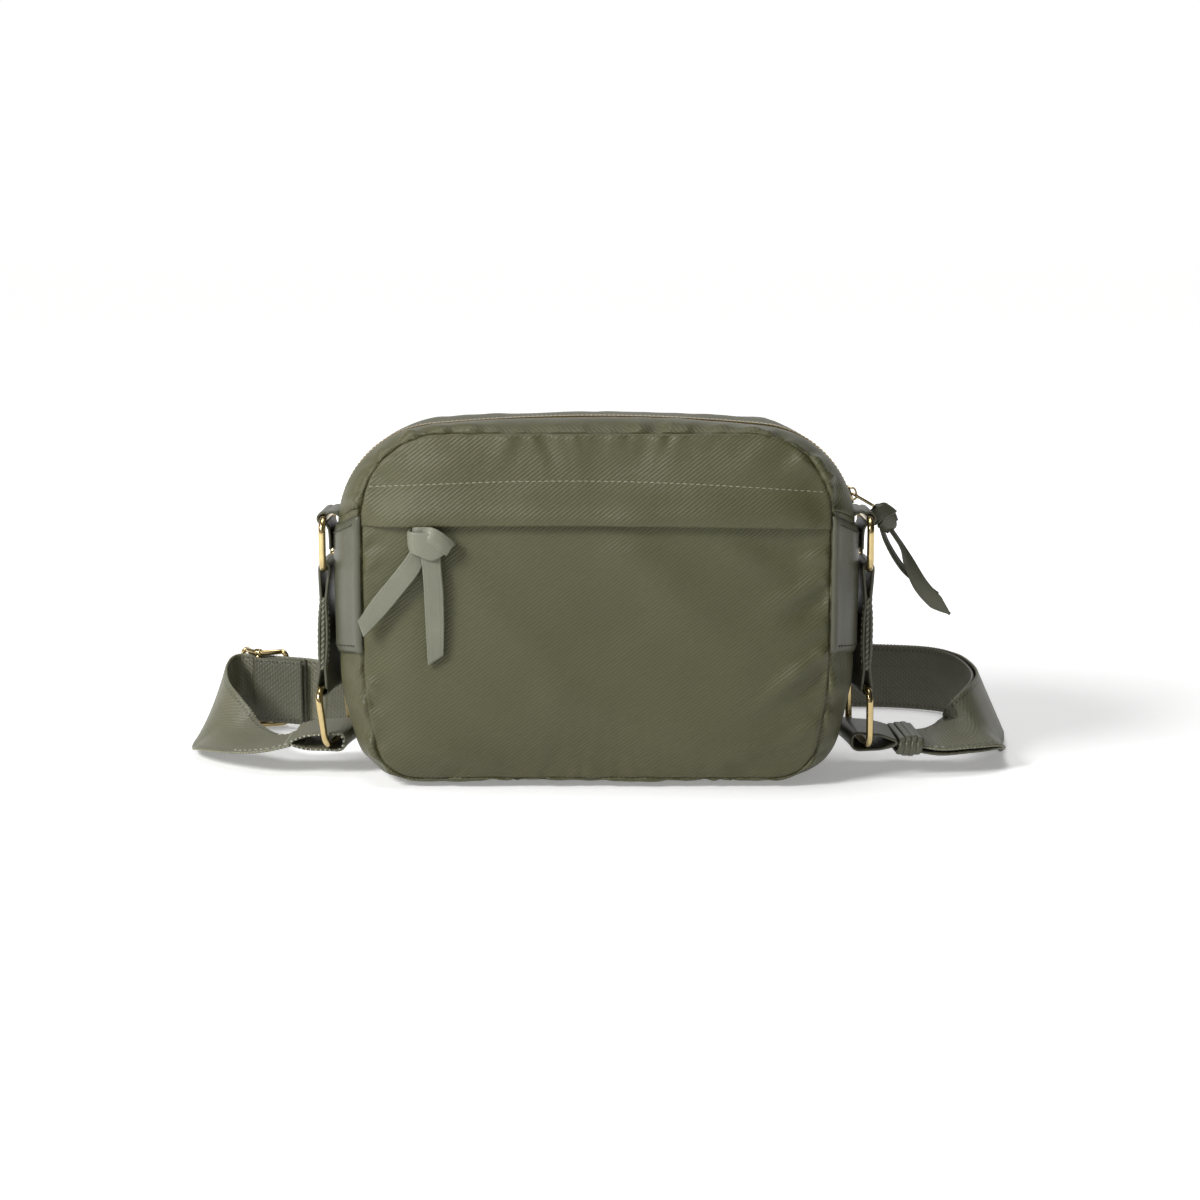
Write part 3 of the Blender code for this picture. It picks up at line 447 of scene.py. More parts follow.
def resample(points, count):
    """The open line again, with evenly spaced points."""
    points = np.asarray(points, float)
    along = line_length(points)
    return between(np.linspace(0, along[-1], count), along, points)


def arc_points(cx, cz, radius, start, end, count):
    angle = np.radians(np.linspace(start, end, count))
    return np.stack([cx + radius * np.cos(angle), cz + radius * np.sin(angle)], 1)


GROOVE_PLACE = 1.1              # how far a pressed crease lies from a leather strip's edge


def strip_section(width, thickness, across, edge=3, groove=0.0):
    """A strip's cross-section as (across, through) pairs, with rounded edges."""
    r = thickness / 2
    flat = width / 2 - r
    u = np.linspace(-flat, flat, across)
    dip = groove * np.exp(-((np.abs(u) - (width / 2 - GROOVE_PLACE)) / 0.22) ** 2)
    front = np.stack([u, r - dip], 1)
    angle = np.radians(np.linspace(90, -90, edge + 2)[1:-1])
    right = np.stack([flat + r * np.cos(angle), r * np.sin(angle)], 1)
    back = np.stack([u[::-1], -r + dip[::-1]], 1)
    left = -right
    return np.concatenate([front, right, back, left])


def skin_faces(rows, columns, closed=False, start=0):
    """Faces round a swept section; an open sweep gets end caps."""
    faces = grid_faces(rows, columns, wrap_rows=closed, wrap_columns=True, start=start)
    if not closed:
        faces.append(tuple(start + i for i in range(columns))[::-1])
        faces.append(tuple(start + (rows - 1) * columns + i for i in range(columns)))
    return faces


def sweep(name, centres, across, section, material, body="root", closed=False,
          widths=None):
    """A solid strip along a line; each station has its own direction across."""
    centres = np.asarray(centres, float)
    count = len(centres)
    if closed:
        ahead = np.roll(centres, -1, 0) - np.roll(centres, 1, 0)
    else:
        ahead = np.gradient(centres, axis=0)
    ahead = unit(ahead)
    across = np.broadcast_to(np.asarray(across, float), centres.shape).copy()
    across -= ahead * (across * ahead).sum(1, keepdims=True)
    across = unit(across)
    normal = unit(np.cross(across, ahead))
    scale = np.ones(count) if widths is None else np.asarray(widths, float)
    size = len(section)
    points = (centres[:, None] + across[:, None] * (section[None, :, :1] * scale[:, None, None])
              + normal[:, None] * section[None, :, 1:]).reshape(-1, 3)
    uv = np.stack([np.tile(section[:, 0], count), np.repeat(line_length(centres), size)], 1)
    obj = make_piece(name, points, skin_faces(count, size, closed), material, body, uv)
    fix_normals(obj)
    return obj


def fix_normals(obj):
    build = bmesh.new()
    build.from_mesh(obj.data)
    bmesh.ops.recalc_face_normals(build, faces=build.faces)
    build.to_mesh(obj.data)
    build.free()


def edge_strip(name, left, right, thickness, material, body="root", count=40,
               groove=0.0, bow=0.0):
    """A leather strip between two edge lines, so its ends can be cut at an angle."""
    left = resample(smooth_curve(left, 8), count)
    right = resample(smooth_curve(right, 8), count)
    centres = (left + right) / 2
    ahead = unit(np.gradient(centres, axis=0))
    normal = unit(np.cross(right - left, ahead))
    nominal = 9.0
    shape = strip_section(nominal, thickness, 14, 3, groove)
    share = np.clip(shape[:, 0] / nominal + 0.5, 0, 1)
    size = len(shape)
    bulge = bow * (1 - (2 * share - 1) ** 2)
    points = (left[:, None] * (1 - share[None, :, None]) + right[:, None] * share[None, :, None]
              + normal[:, None] * (shape[None, :, 1:] + bulge[None, :, None])).reshape(-1, 3)
    uv = np.stack([np.tile(shape[:, 0], count), np.repeat(line_length(centres), size)], 1)
    obj = make_piece(name, points, skin_faces(count, size), material, body, uv)
    fix_normals(obj)
    return obj


def tube(name, points, radius, material, body="root", cyclic=False, sides=16):
    """A round wire along a line."""
    points = np.asarray(points, float)
    count = len(points)
    if cyclic:
        ahead = unit(np.roll(points, -1, 0) - np.roll(points, 1, 0))
    else:
        ahead = unit(np.gradient(points, axis=0))
    guide = np.array([0.0, 0.0, 1.0]) if abs(ahead[0][2]) < 0.9 else np.array([0.0, 1.0, 0.0])
    side = unit(np.cross(ahead[0], guide))
    frames = [side]
    for i in range(1, count):
        side = side - ahead[i] * (side @ ahead[i])
        side = side / np.linalg.norm(side)
        frames.append(side)
    side = np.array(frames)
    up = np.cross(ahead, side)
    angle = np.linspace(0, 2 * np.pi, sides, endpoint=False)
    radius = np.broadcast_to(np.asarray(radius, float), (count,))
    ring = side[:, None] * np.cos(angle)[None, :, None] + up[:, None] * np.sin(angle)[None, :, None]
    verts = (points[:, None] + ring * radius[:, None, None]).reshape(-1, 3)
    uv = np.stack([np.tile(angle * 2, count), np.repeat(line_length(points), sides)], 1)
    obj = make_piece(name, verts, skin_faces(count, sides, cyclic), material, body, uv)
    fix_normals(obj)
    return obj


def rounded_rectangle(half_a, half_b, corner, steps=8):
    points = []
    for sa, sb, start in ((1, 1, 0), (-1, 1, 90), (-1, -1, 180), (1, -1, 270)):
        points.append(arc_points(sa * (half_a - corner), sb * (half_b - corner), corner,
                                 start, start + 90, steps + 1))
    return np.concatenate(points)


def dense(loop, step=1.0):
    """A closed loop resampled at about the given spacing."""
    closed = np.vstack([loop, loop[:1]])
    keep = np.concatenate([[True], np.linalg.norm(np.diff(closed, axis=0), axis=1) > 1e-6])
    closed = closed[keep]
    total = line_length(closed)[-1]
    return resample(closed, int(total / step) + 1)[:-1]


# ------------------------------------------------------------------ stitches
def stitches(name, line, normals, material, body="root", pitch=3.0, length=2.1,
             radius=0.24, sink=0.06, tilt=0.0):
    """A row of thread stitches along a line that lies on a surface."""
    line = np.asarray(line, float)
    along = line_length(line)
    count = max(1, int(along[-1] / pitch))
    at = (np.arange(count) + 0.5) * along[-1] / count
    place = between(at, along, line)
    ahead = unit(between(at + 0.5, along, line) - between(at - 0.5, along, line))
    up = unit(between(at, along, np.broadcast_to(np.asarray(normals, float), line.shape)))
    side = unit(np.cross(ahead, up))
    ahead = unit(ahead * math.cos(tilt) + side * math.sin(tilt))
    side = unit(np.cross(ahead, up))
    profile = np.array([[-0.5, 0.25, -0.9], [-0.42, 0.8, -0.2], [-0.2, 1.0, 0.35], [0.2, 1.0, 0.35],
                        [0.42, 0.8, -0.2], [0.5, 0.25, -0.9]])
    sides = 6
    angle = np.linspace(0, 2 * np.pi, sides, endpoint=False)
    rings, faces = [], []
    for x, r, lift in profile:
        centre = place + ahead * x * length + up * (lift * radius - sink)
        ring = (centre[:, None] + (up[:, None] * np.cos(angle)[None, :, None]
                                   + side[:, None] * np.sin(angle)[None, :, None]) * r * radius)
        rings.append(ring)
    points = np.stack(rings, 1)
    per = len(profile) * sides
    for k in range(count):
        faces += skin_faces(len(profile), sides, start=k * per)
    obj = make_piece(name, points.reshape(-1, 3), faces, material, body)
    fix_normals(obj)
    return obj


# ------------------------------------------------------------------ noise
RANDOM = np.random.default_rng(7)
LATTICE = RANDOM.uniform(-1, 1, (32, 32, 32))


def noise3(points, pitch):
    """Smooth seeded noise from -1 to 1 at points in millimetres."""
    p = np.asarray(points, float) / pitch + 100.0
    low = np.floor(p).astype(int)
    t = p - low
    t = t * t * (3 - 2 * t)
    total = np.zeros(p.shape[:-1])
    for corner in np.ndindex(2, 2, 2):
        weight = np.ones(p.shape[:-1])
        for k in range(3):
            weight = weight * (t[..., k] if corner[k] else 1 - t[..., k])
        i = (low + corner) % 32
        total += weight * LATTICE[i[..., 0], i[..., 1], i[..., 2]]
    return total


def soft_step(value, low, high):
    t = np.clip((np.asarray(value, float) - low) / (high - low), 0, 1)
    return t * t * (3 - 2 * t)


# ------------------------------------------------------------------ strap and cords
def strap_lines(steps):
    """The strap's centres, directions across and normals, clear of the floor."""
    centres = smooth_curve([c for c, _ in STRAP_ROUTE], steps)
    widths = smooth_curve([unit(w) for _, w in STRAP_ROUTE], steps)
    ahead = np.zeros_like(centres)
    ahead[1:-1] = centres[2:] - centres[:-2]
    ahead[0] = centres[1] - centres[0]
    ahead[-1] = centres[-1] - centres[-2]
    ahead = unit(ahead)
    across = unit(widths - ahead * (widths * ahead).sum(1, keepdims=True))
    normal = unit(np.cross(across, ahead))
    below = abs(across[:, 2]) * STRAP_WIDTH / 2 + abs(normal[:, 2]) * STRAP_THICKNESS / 2
    below += np.maximum(0, -normal[:, 2]) * LAYER_STEP
    lift = np.maximum(0, 0.35 + below - centres[:, 2])
    return centres + np.outer(lift, (0, 0, 1)), across, normal


STRAP_STATIONS = 10             # stations between two points of the route
STRAP_CENTRES, STRAP_ACROSS, STRAP_NORMAL = strap_lines(STRAP_STATIONS)


def strap_layer(name, first, last, inside, node, material):
    """One layer of the webbing, with a slight waver in its width and its edges."""
    part = slice(first * STRAP_STATIONS, last * STRAP_STATIONS + 1)
    centres = STRAP_CENTRES[part] + STRAP_NORMAL[part] * inside
    section = strip_section(STRAP_WIDTH, STRAP_THICKNESS, 16, 3)
    along = line_length(centres)
    wave = noise3(np.stack([along, along * 0, np.full_like(along, inside)], 1), 14) * 0.004
    strap = sweep(name, centres, STRAP_ACROSS[part], section, material, "root",
                  widths=1 + wave)
    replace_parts(strap, node)
    return strap, centres


strap_outer, outer_line = strap_layer("strap_outer_layer", 0, len(STRAP_ROUTE) - 1, 0, "strap_webbing",
                                      WEBBING)
# the inner layer wears the darker webbing copy, painted shade for the run behind the bag
strap_inner, inner_line = strap_layer("strap_inner_layer", 0, RETURN_LAST_POINT, LAYER_STEP,
                                      "strap_return_webbing", WEBBING_INNER_SHADED)


def strap_across(index):
    """The strap's direction across, at places counted in stations."""
    return between(index, np.arange(len(STRAP_ACROSS)), STRAP_ACROSS)


def strap_surface(share_from, share_to, offset_across, side, count):
    """A line on the strap's face: side 1 is the inner face, -1 the outer face."""
    index = np.linspace(share_from * STRAP_STATIONS, share_to * STRAP_STATIONS, count)
    stations = np.arange(len(STRAP_CENTRES))
    normal = unit(between(index, stations, STRAP_NORMAL)) * side
    line = between(index, stations, STRAP_CENTRES) + unit(strap_across(index)) * offset_across
    return line + normal * STRAP_THICKNESS / 2, normal


# ------------------------------------------------------------------ the bag's outline
BASE_CELLS, CORNER_CELLS, SIDE_CELLS, ARC_CELLS, TOP_CELLS = 28, 12, 36, 20, 24
HALF_CELLS = BASE_CELLS + CORNER_CELLS + SIDE_CELLS + ARC_CELLS + TOP_CELLS
LOOP = 2 * HALF_CELLS


CORNER_TOP = 24.0               # the height where the bottom corners end and the sides begin
TAPER_TOP = 60.0                # below this height the sides lean inwards


def side_x(half_width, taper, z):
    """How far the side stands from the middle at a height."""
    return half_width - taper * (np.maximum(0, TAPER_TOP - z) / (TAPER_TOP - CORNER_TOP)) ** 2


def half_outline(half_width, taper, bottom, reach, radius, centre, crown):
    """The right half of an outline, from the middle of the base round to the middle of the top."""
    corner_x = side_x(half_width, taper, CORNER_TOP)
    flat = corner_x - reach
    points = [np.stack([np.linspace(0, flat, BASE_CELLS + 1)[:-1], np.full(BASE_CELLS, bottom)], 1)]
    angle = np.linspace(0, np.pi / 2, CORNER_CELLS + 1)[:-1]
    points.append(np.stack([flat + reach * np.sin(angle),
                            CORNER_TOP - (CORNER_TOP - bottom) * np.cos(angle)], 1))
    z = np.linspace(CORNER_TOP, centre[1], SIDE_CELLS + 1)[:-1]
    points.append(np.stack([side_x(half_width, taper, z), z], 1))
    points.append(arc_points(*centre, radius, 0, 90, ARC_CELLS + 1)[:-1])
    x = np.linspace(centre[0], 0, TOP_CELLS + 1)
    points.append(np.stack([x, centre[1] + radius + crown * (1 - (x / centre[0]) ** 2)], 1))
    return np.concatenate(points)


def smooth_loop(path, rounds=6):
    """Softens a closed line by averaging each point with its neighbours."""
    for _ in range(rounds):
        path = (np.roll(path, 1, 0) + 2 * path + np.roll(path, -1, 0)) / 4
    return path


def whole_loop(half):
    """A closed outline from its right half."""
    left = half[1:-1][::-1] * (-1, 1)
    return smooth_loop(np.concatenate([half, left]), 3)


SEAM = whole_loop(half_outline(109.3, 4.5, 4.5, 20, 38, (71.3, 130), 0))
BULGE = whole_loop(half_outline(123.4, 6.2, 0.0, 30, ARC_RADIUS, ARC_CENTRE, 3.5))
ZIP_START = BASE_CELLS + CORNER_CELLS + SIDE_CELLS + 1
SEAM_STEPS = np.array([0, 0.6, 1.2, 1.9, 2.8, 4.2, 6.2, 9, 12.5, 16.5, 20.5, 25, 30, 34.5, 38])
COLUMNS = np.concatenate([SEAM_STEPS - HALF_DEPTH, (HALF_DEPTH - SEAM_STEPS)[::-1][1:]])
ZIP_COLUMN = len(SEAM_STEPS) - 1


def loop_inward(loop):
    """Directions from each point of an outline towards its inside."""
    along = unit(np.roll(loop, -1, 0) - np.roll(loop, 1, 0))
    return np.stack([-along[:, 1], along[:, 0]], 1)


SEAM_IN = loop_inward(SEAM)
BULGE_IN = loop_inward(BULGE)


def gusset_shape(columns):
    """Gusset points (station, column, xyz), with a rim beside each seam."""
    share = np.abs(columns) / HALF_DEPTH
    beyond = np.maximum(0, share - 0.12) / 0.88
    full = (1 - beyond ** 2.2)[None, :, None]
    flat = SEAM[:, None] * (1 - full) + BULGE[:, None] * full
    off_seam = HALF_DEPTH - np.abs(columns)
    edge = np.exp(-off_seam / 0.55)[None, :, None]
    inward = SEAM_IN[:, None] * (1 - full) + BULGE_IN[:, None] * full
    flat = flat + unit(inward) * (edge * 1.2)
    rim = 2.6 * np.exp(-((off_seam - 1.7) / 1.4) ** 2) - 1.0 * np.exp(-off_seam / 0.5)
    y = np.broadcast_to((columns + np.sign(columns) * rim)[None, :], flat.shape[:2])
    return np.stack([flat[..., 0], y, flat[..., 1]], -1)


GUSSET_REST = gusset_shape(COLUMNS)
PANEL_INSET = 1.5               # how far inside the seam outline the panels end


def panel_grid():
    """A grid just inside the seam outline; its border is the outline's own stations."""
    corner = BASE_CELLS + CORNER_CELLS // 2
    top_corner = BASE_CELLS + CORNER_CELLS + SIDE_CELLS + ARC_CELLS // 2
    rim = SEAM + SEAM_IN * PANEL_INSET
    right = rim[corner:top_corner + 1]
    top = rim[top_corner:LOOP - top_corner + 1][::-1]
    left = rim[LOOP - top_corner:LOOP - corner + 1][::-1]
    bottom = np.concatenate([rim[LOOP - corner:], rim[:corner + 1]])
    rows, columns = len(right), len(top)
    u = np.linspace(0, 1, columns)[None, :, None]
    v = np.linspace(0, 1, rows)[:, None, None]
    grid = ((1 - v) * bottom[None] + v * top[None] + (1 - u) * left[:, None] + u * right[:, None]
            - (1 - u) * (1 - v) * bottom[0] - u * (1 - v) * bottom[-1]
            - (1 - u) * v * top[0] - u * v * top[-1])
    order = [(i, columns - 1, corner + i) for i in range(rows)]
    order += [(rows - 1, columns - 1 - j, top_corner + j) for j in range(columns)]
    order += [(rows - 1 - i, 0, LOOP - top_corner + i) for i in range(rows)]
    order += [(0, j, (LOOP - corner + j) % LOOP) for j in range(columns)]
    return grid, order


PANEL_FLAT, PANEL_BORDER = panel_grid()


def outline_share(flat):
    """How far out a panel point is: 0 in the middle, 1 on the seam outline."""
    offset = flat - (0, BELLY_Z)
    angle = np.arctan2(offset[..., 1], offset[..., 0])
    rim = SEAM - (0, BELLY_Z)
    rim_angle = np.arctan2(rim[:, 1], rim[:, 0])
    order = np.argsort(rim_angle)
    rim_radius = np.linalg.norm(rim, axis=1)[order]
    rim_angle = rim_angle[order]
    radius = np.interp(angle, np.concatenate([rim_angle - 2 * np.pi, rim_angle, rim_angle + 2 * np.pi]),
                       np.tile(rim_radius, 3))
    return np.linalg.norm(offset, axis=-1) / radius, radius


def panel_depth(flat):
    """The panel's distance from the bag's middle plane."""
    share = np.clip(outline_share(flat)[0], 0, 1)
    return PANEL_Y + CROWN * (1 - share ** 4)


def creased(flat):
    """Soft folds on the front panel, in millimetres outwards."""
    x, z = flat[..., 0], flat[..., 1]
    total = np.zeros(x.shape)
    folds = [
        ((-108, 119), (-97, 125), 0.5, 2.4), ((-108, 114), (-98, 119), -0.5, 2.4),
        ((-107, 106), (-99, 110), 0.35, 2.6), ((-106, 50), (-97, 45), 0.4, 3.0),
        ((-107, 42), (-92, 33), -0.35, 4.0), ((106, 112), (94, 108), 0.35, 3.0),
        ((106, 99), (80, 88), 0.6, 4.2), ((106, 92), (86, 80), -0.45, 4.4),
        ((105, 64), (72, 38), 0.65, 4.6), ((105, 56), (80, 33), -0.4, 4.6),
        ((105, 78), (92, 70), 0.35, 3.4), ((102, 30), (84, 20), 0.4, 4.0),
        ((58, 12), (92, 27), 0.35, 5.0), ((-50, 12), (-90, 24), 0.3, 5.0),
        ((-66, 104), (-16, 58), 0.5, 10.0), ((-84, 62), (-30, 30), 0.45, 11.0),
        ((14, 116), (62, 66), 0.5, 12.0), ((-20, 44), (48, 22), 0.4, 10.0),
        ((62, 118), (92, 96), 0.35, 7.0), ((20, 84), (-18, 58), -0.35, 12.0),
        ((-98, 160), (-84, 150), 0.35, 4.0), ((98, 158), (86, 150), 0.3, 4.0),
        ((-40, 168), (-44, 156), 0.3, 4.0), ((26, 168), (30, 157), 0.25, 4.0),
    ]
    for start, end, height, width in folds:
        start, end = np.array(start, float), np.array(end, float)
        along = end - start
        t = np.clip(((x - start[0]) * along[0] + (z - start[1]) * along[1]) / (along @ along), 0, 1)
        gap = np.hypot(x - start[0] - along[0] * t, z - start[1] - along[1] * t)
        strength = 4.2 if width < 6 else 2.8
        total += strength * height * np.exp(-(gap / width) ** 2) * np.minimum(1, 1.35 * (1 - t) + 0.1)
    return total


# ------------------------------------------------------------------ cloth simulation of the body
def simulate_body():
    """Inflates the sewn shell a little; returns how far each point moved, in millimetres."""
    rows, columns = PANEL_FLAT.shape[:2]
    gusset_points = GUSSET_REST.reshape(-1, 3)
    points = [gusset_points]
    faces = grid_faces(LOOP, len(COLUMNS), wrap_rows=True)
    count = len(gusset_points)
    numbers = []
    for side, column in ((-1, 0), (1, len(COLUMNS) - 1)):
        number = np.full((rows, columns), -1)
        for i, j, station in PANEL_BORDER:
            number[i, j] = station * len(COLUMNS) + column
        inner = number < 0
        number[inner] = count + np.arange(inner.sum())
        count += int(inner.sum())
        depth = panel_depth(PANEL_FLAT)
        body = np.stack([PANEL_FLAT[..., 0], side * depth, PANEL_FLAT[..., 1]], -1)
        points.append(body[inner])
        numbers.append(number)
        for i in range(rows - 1):
            for j in range(columns - 1):
                faces.append((number[i, j], number[i, j + 1], number[i + 1, j + 1], number[i + 1, j]))
    rest = np.concatenate(points)
    wobble = noise3(rest, 17) * 0.7 + noise3(rest + 50, 8) * 0.25
    mesh = bpy.data.meshes.new("shell_sim")
    obj = bpy.data.objects.new("shell_sim", mesh)
    bpy.context.scene.collection.objects.link(obj)
    # the cloth is simulated ten times its size, where the solver's units suit it
    mesh.from_pydata([tuple(p) for p in rest * 0.01], [], [tuple(int(i) for i in f) for f in faces])
    mesh.update()
    fix_normals(obj)
    normals = np.array([v.normal[:] for v in mesh.vertices])
    start = rest + normals * wobble[:, None]
    weights = np.zeros(len(rest))
    station = np.arange(LOOP)[:, None]
    column = np.abs(COLUMNS)[None, :]
    grid_z = GUSSET_REST[..., 2]
    upper = (station >= ZIP_START) & (station <= LOOP - ZIP_START)
    pin = np.where(column > 37.9, 1.0, 0.0) + np.where((column < 3.6) & upper, 1.0, 0.0)
    pin = np.maximum(pin, np.where(grid_z < 3.0, 0.9, 0.0))
    pin = np.maximum(pin, np.where((grid_z > 62) & (grid_z < 121) & (column < 36.5)
                                   & (np.abs(GUSSET_REST[..., 0]) > 100), 0.8, 0.0))
    weights[:pin.size] = np.minimum(pin, 1).ravel()
    pinned = weights > 0.5
    start[pinned] = rest[pinned]
    mesh.vertices.foreach_set("co", (start * 0.01).ravel())
    group = obj.vertex_groups.new(name="pin")
    for level in (0.8, 0.9, 1.0):
        chosen = np.nonzero(np.abs(weights - level) < 1e-6)[0]
        group.add([int(i) for i in chosen], level, "REPLACE")
    cloth = obj.modifiers.new("cloth", "CLOTH")
    setting = cloth.settings
    setting.quality = 6
    setting.mass = 0.25
    setting.tension_stiffness = 22
    setting.compression_stiffness = 22
    setting.shear_stiffness = 8
    setting.bending_stiffness = 0.6
    setting.air_damping = 2
    setting.vertex_group_mass = "pin"
    setting.pin_stiffness = 2
    setting.shrink_min = -0.022
    setting.use_pressure = True
    setting.uniform_pressure_force = 3.0
    setting.effector_weights.gravity = 0
    cloth.collision_settings.use_collision = False
    scene = bpy.context.scene
    cloth.point_cache.frame_start = 1
    cloth.point_cache.frame_end = 26
    for number in range(1, 27):
        scene.frame_set(number)
    graph = bpy.context.evaluated_depsgraph_get()
    shaped = obj.evaluated_get(graph)
    end = np.zeros(len(rest) * 3, np.float32)
    shaped.data.vertices.foreach_get("co", end)
    end = end.reshape(-1, 3) / 0.01
    scene.frame_set(1)
    bpy.data.objects.remove(obj)
    moved = end - rest
    gusset_move = moved[:gusset_points.shape[0]].reshape(*GUSSET_REST.shape)
    return gusset_move, moved[numbers[0]], moved[numbers[1]]


def limited(move, most):
    size = np.linalg.norm(move, axis=-1, keepdims=True)
    return move * (most * np.tanh(size / most) / np.maximum(size, 1e-6))


GUSSET_MOVE, FRONT_MOVE, BACK_MOVE = simulate_body()
print("cloth moved", np.abs(GUSSET_MOVE).max(), np.abs(FRONT_MOVE).max())
GUSSET_MOVE = limited(GUSSET_MOVE, 2.2)
FRONT_MOVE = limited(FRONT_MOVE, 1.6)
BACK_MOVE = limited(BACK_MOVE, 2.2)


# ------------------------------------------------------------------ final body surfaces
def seam_gathers(around, distance, seed):
    """Small wrinkles that run away from a seam, in millimetres outwards."""
    place = np.stack([around + seed, distance * 0.22, np.full_like(around, seed)], -1)
    long_ones = noise3(place + 31, 8.0) * 0.75 * np.exp(-(distance / 13.0) ** 1.5)
    short_ones = noise3(place, 4.2) * 0.7 * np.exp(-(distance / 5.5) ** 1.3)
    where = 0.45 + 0.75 * soft_step(noise3(place * (1, 0, 0) + 77, 26), -0.5, 0.6)
    return (long_ones + short_ones) * where * (1 - np.exp(-distance / 1.3))


def vertex_array(obj):
    values = np.zeros(len(obj.data.vertices) * 3)
    obj.data.vertices.foreach_get("co", values)
    return values.reshape(-1, 3) / MM


def move_vertices(obj, points):
    obj.data.vertices.foreach_set("co", (points * MM).ravel())
    obj.data.update()


def body_gusset():
    """The gusset's outer face with the cloth's shape and its gathers."""
    near_zip = soft_step(np.abs(COLUMNS), 4, 24)[None, :, None]
    points = GUSSET_REST + GUSSET_MOVE * (0.15 + 0.85 * near_zip)
    outward = -np.stack([BULGE_IN[:, 0], np.zeros(LOOP), BULGE_IN[:, 1]], 1)[:, None]
    distance = HALF_DEPTH - np.abs(COLUMNS)[None, :]
    distance = np.broadcast_to(distance, points.shape[:2])
    lift = noise3(GUSSET_REST + 9, 22) * 0.5 * np.minimum(1, distance / 10)
    zip_edge = np.abs(COLUMNS)[None, :] - 3.5
    lift = lift * np.minimum(1, np.maximum(0.1, zip_edge / 14))
    gather = noise3(GUSSET_REST * (1, 0.1, 1) + 3, 4.2) * 0.45 + noise3(GUSSET_REST * (1, 0.1, 1), 9) * 0.4
    points[..., 1] += np.sign(COLUMNS)[None, :] * gather * np.exp(-((distance - 1.5) / 2.2) ** 2)
    points = points + outward * lift[..., None]
    low = np.maximum(0, 0.35 - points[..., 2])
    points[..., 2] += low
    return points


def body_panel(side, move):
    depth = panel_depth(PANEL_FLAT)
    rest = np.stack([PANEL_FLAT[..., 0], side * depth, PANEL_FLAT[..., 1]], -1)
    share, radius = outline_share(PANEL_FLAT)
    distance = np.clip(1 - share, 0, 1) * radius
    lift = noise3(rest * (1, 1, 0.8) + 77, 42) * 2.3 * np.minimum(1, distance / 16)
    lift = lift + noise3(rest + 17, 17) * 0.4 * np.minimum(1, distance / 10)
    edge = np.minimum(1, 0.25 + distance / 6)
    rest[..., 1] += side * lift * edge
    return rest + move * soft_step(distance, 1, 26)[..., None]


GUSSET_FACE = body_gusset()
FRONT_FACE = body_panel(-1, FRONT_MOVE)
BACK_FACE = body_panel(1, BACK_MOVE)


def with_hem(grid, side):
    """The panel's grid with one more ring turned in behind its edge."""
    rows, columns = grid.shape[:2]
    seen, ring = set(), []
    for i, j, station in PANEL_BORDER:
        if station % LOOP not in seen:
            seen.add(station % LOOP)
            ring.append((i, j, station % LOOP))
    ring.sort(key=lambda r: r[2])
    points = [grid.reshape(-1, 3)]
    faces = grid_faces(rows, columns)
    before = [i * columns + j for i, j, _ in ring]
    count = rows * columns
    for inset, deep in ((0.75, 0.4), (0.2, 1.15), (0.3, 2.4)):
        made = []
        for i, j, station in ring:
            out = -SEAM_IN[station] * (PANEL_INSET - inset)
            p = grid[i, j]
            made.append((p[0] + out[0], p[1] - side * deep, p[2] + out[1]))
        points.append(np.array(made))
        now = list(range(count, count + len(ring)))
        for k in range(len(ring)):
            after = (k + 1) % len(ring)
            faces.append((before[k], before[after], now[after], now[k]))
        before = now
        count += len(ring)
    return np.concatenate(points), faces


def panel_piece(name, grid, side, low=None, high=None, shift=None):
    """A panel from its grid; its height can be cut at low and high, shifted along x."""
    points, faces = with_hem(grid, side)
    uv = points[:, (0, 2)]
    obj = make_piece(name, points, faces, NYLON_MATERIAL, None, uv)
    fix_normals(obj)
    build = bmesh.new()
    build.from_mesh(obj.data)
    if shift is not None:
        for vert in build.verts:
            vert.co.z -= shift(vert.co.x / MM) * MM
    for height, normal in ((low, (0, 0, -1)), (high, (0, 0, 1))):
        if height is not None:
            geometry = build.verts[:] + build.edges[:] + build.faces[:]
            bmesh.ops.bisect_plane(build, geom=geometry, plane_co=(0, 0, height * MM), plane_no=normal,
                                   clear_outer=True, dist=1e-6)
    if shift is not None:
        for vert in build.verts:
            vert.co.z += shift(vert.co.x / MM) * MM
    if side * sum(f.normal.y * f.calc_area() for f in build.faces) < 0:
        bmesh.ops.reverse_faces(build, faces=build.faces[:])
    build.to_mesh(obj.data)
    build.free()
    return obj


FLAP_EDGE = 126.2               # the height of the flap's edge in the middle of the bag


def flap_shift(x):
    """The flap's edge is a little lower at both ends than in the middle."""
    return -1.6 * (x / 104) ** 2 - 0.6 * (x / 104)


lower_front = panel_piece("front_pocket", FRONT_FACE, -1, high=128.5)
back = panel_piece("back_face", BACK_FACE, 1)
upper_front = panel_piece("flap_and_yoke", FRONT_FACE, -1, low=FLAP_EDGE, shift=flap_shift)


def flap_edge_z(x):
    """The height of the flap's edge at a place along the bag."""
    return FLAP_EDGE + flap_shift(x)


def shape_flap():
    """Lifts the flap off the pocket, and further along the zip to give its pull room."""
    for vert in upper_front.data.vertices:
        x, z = vert.co.x / MM, vert.co.z / MM
        down = float(soft_step(145.6 - 3.6 * (x / 104) ** 2 - z, 0, 18))
        wave = float(noise3(np.array([x, 0.0, z * 0.4]), 24)) * 0.45 * down
        sides = max(0.0, abs(x) - 98) / 9
        travel = float(soft_step(x, -101, -82)) * (1 - float(soft_step(x, 92, 106)))
        over_slider = 1.7 * travel * math.exp(-((z - 132.5) / 9) ** 2)
        vert.co.y -= (3.3 * down * (1 - 0.6 * min(1.0, sides)) + 0.15 + wave + over_slider) * MM


shape_flap()


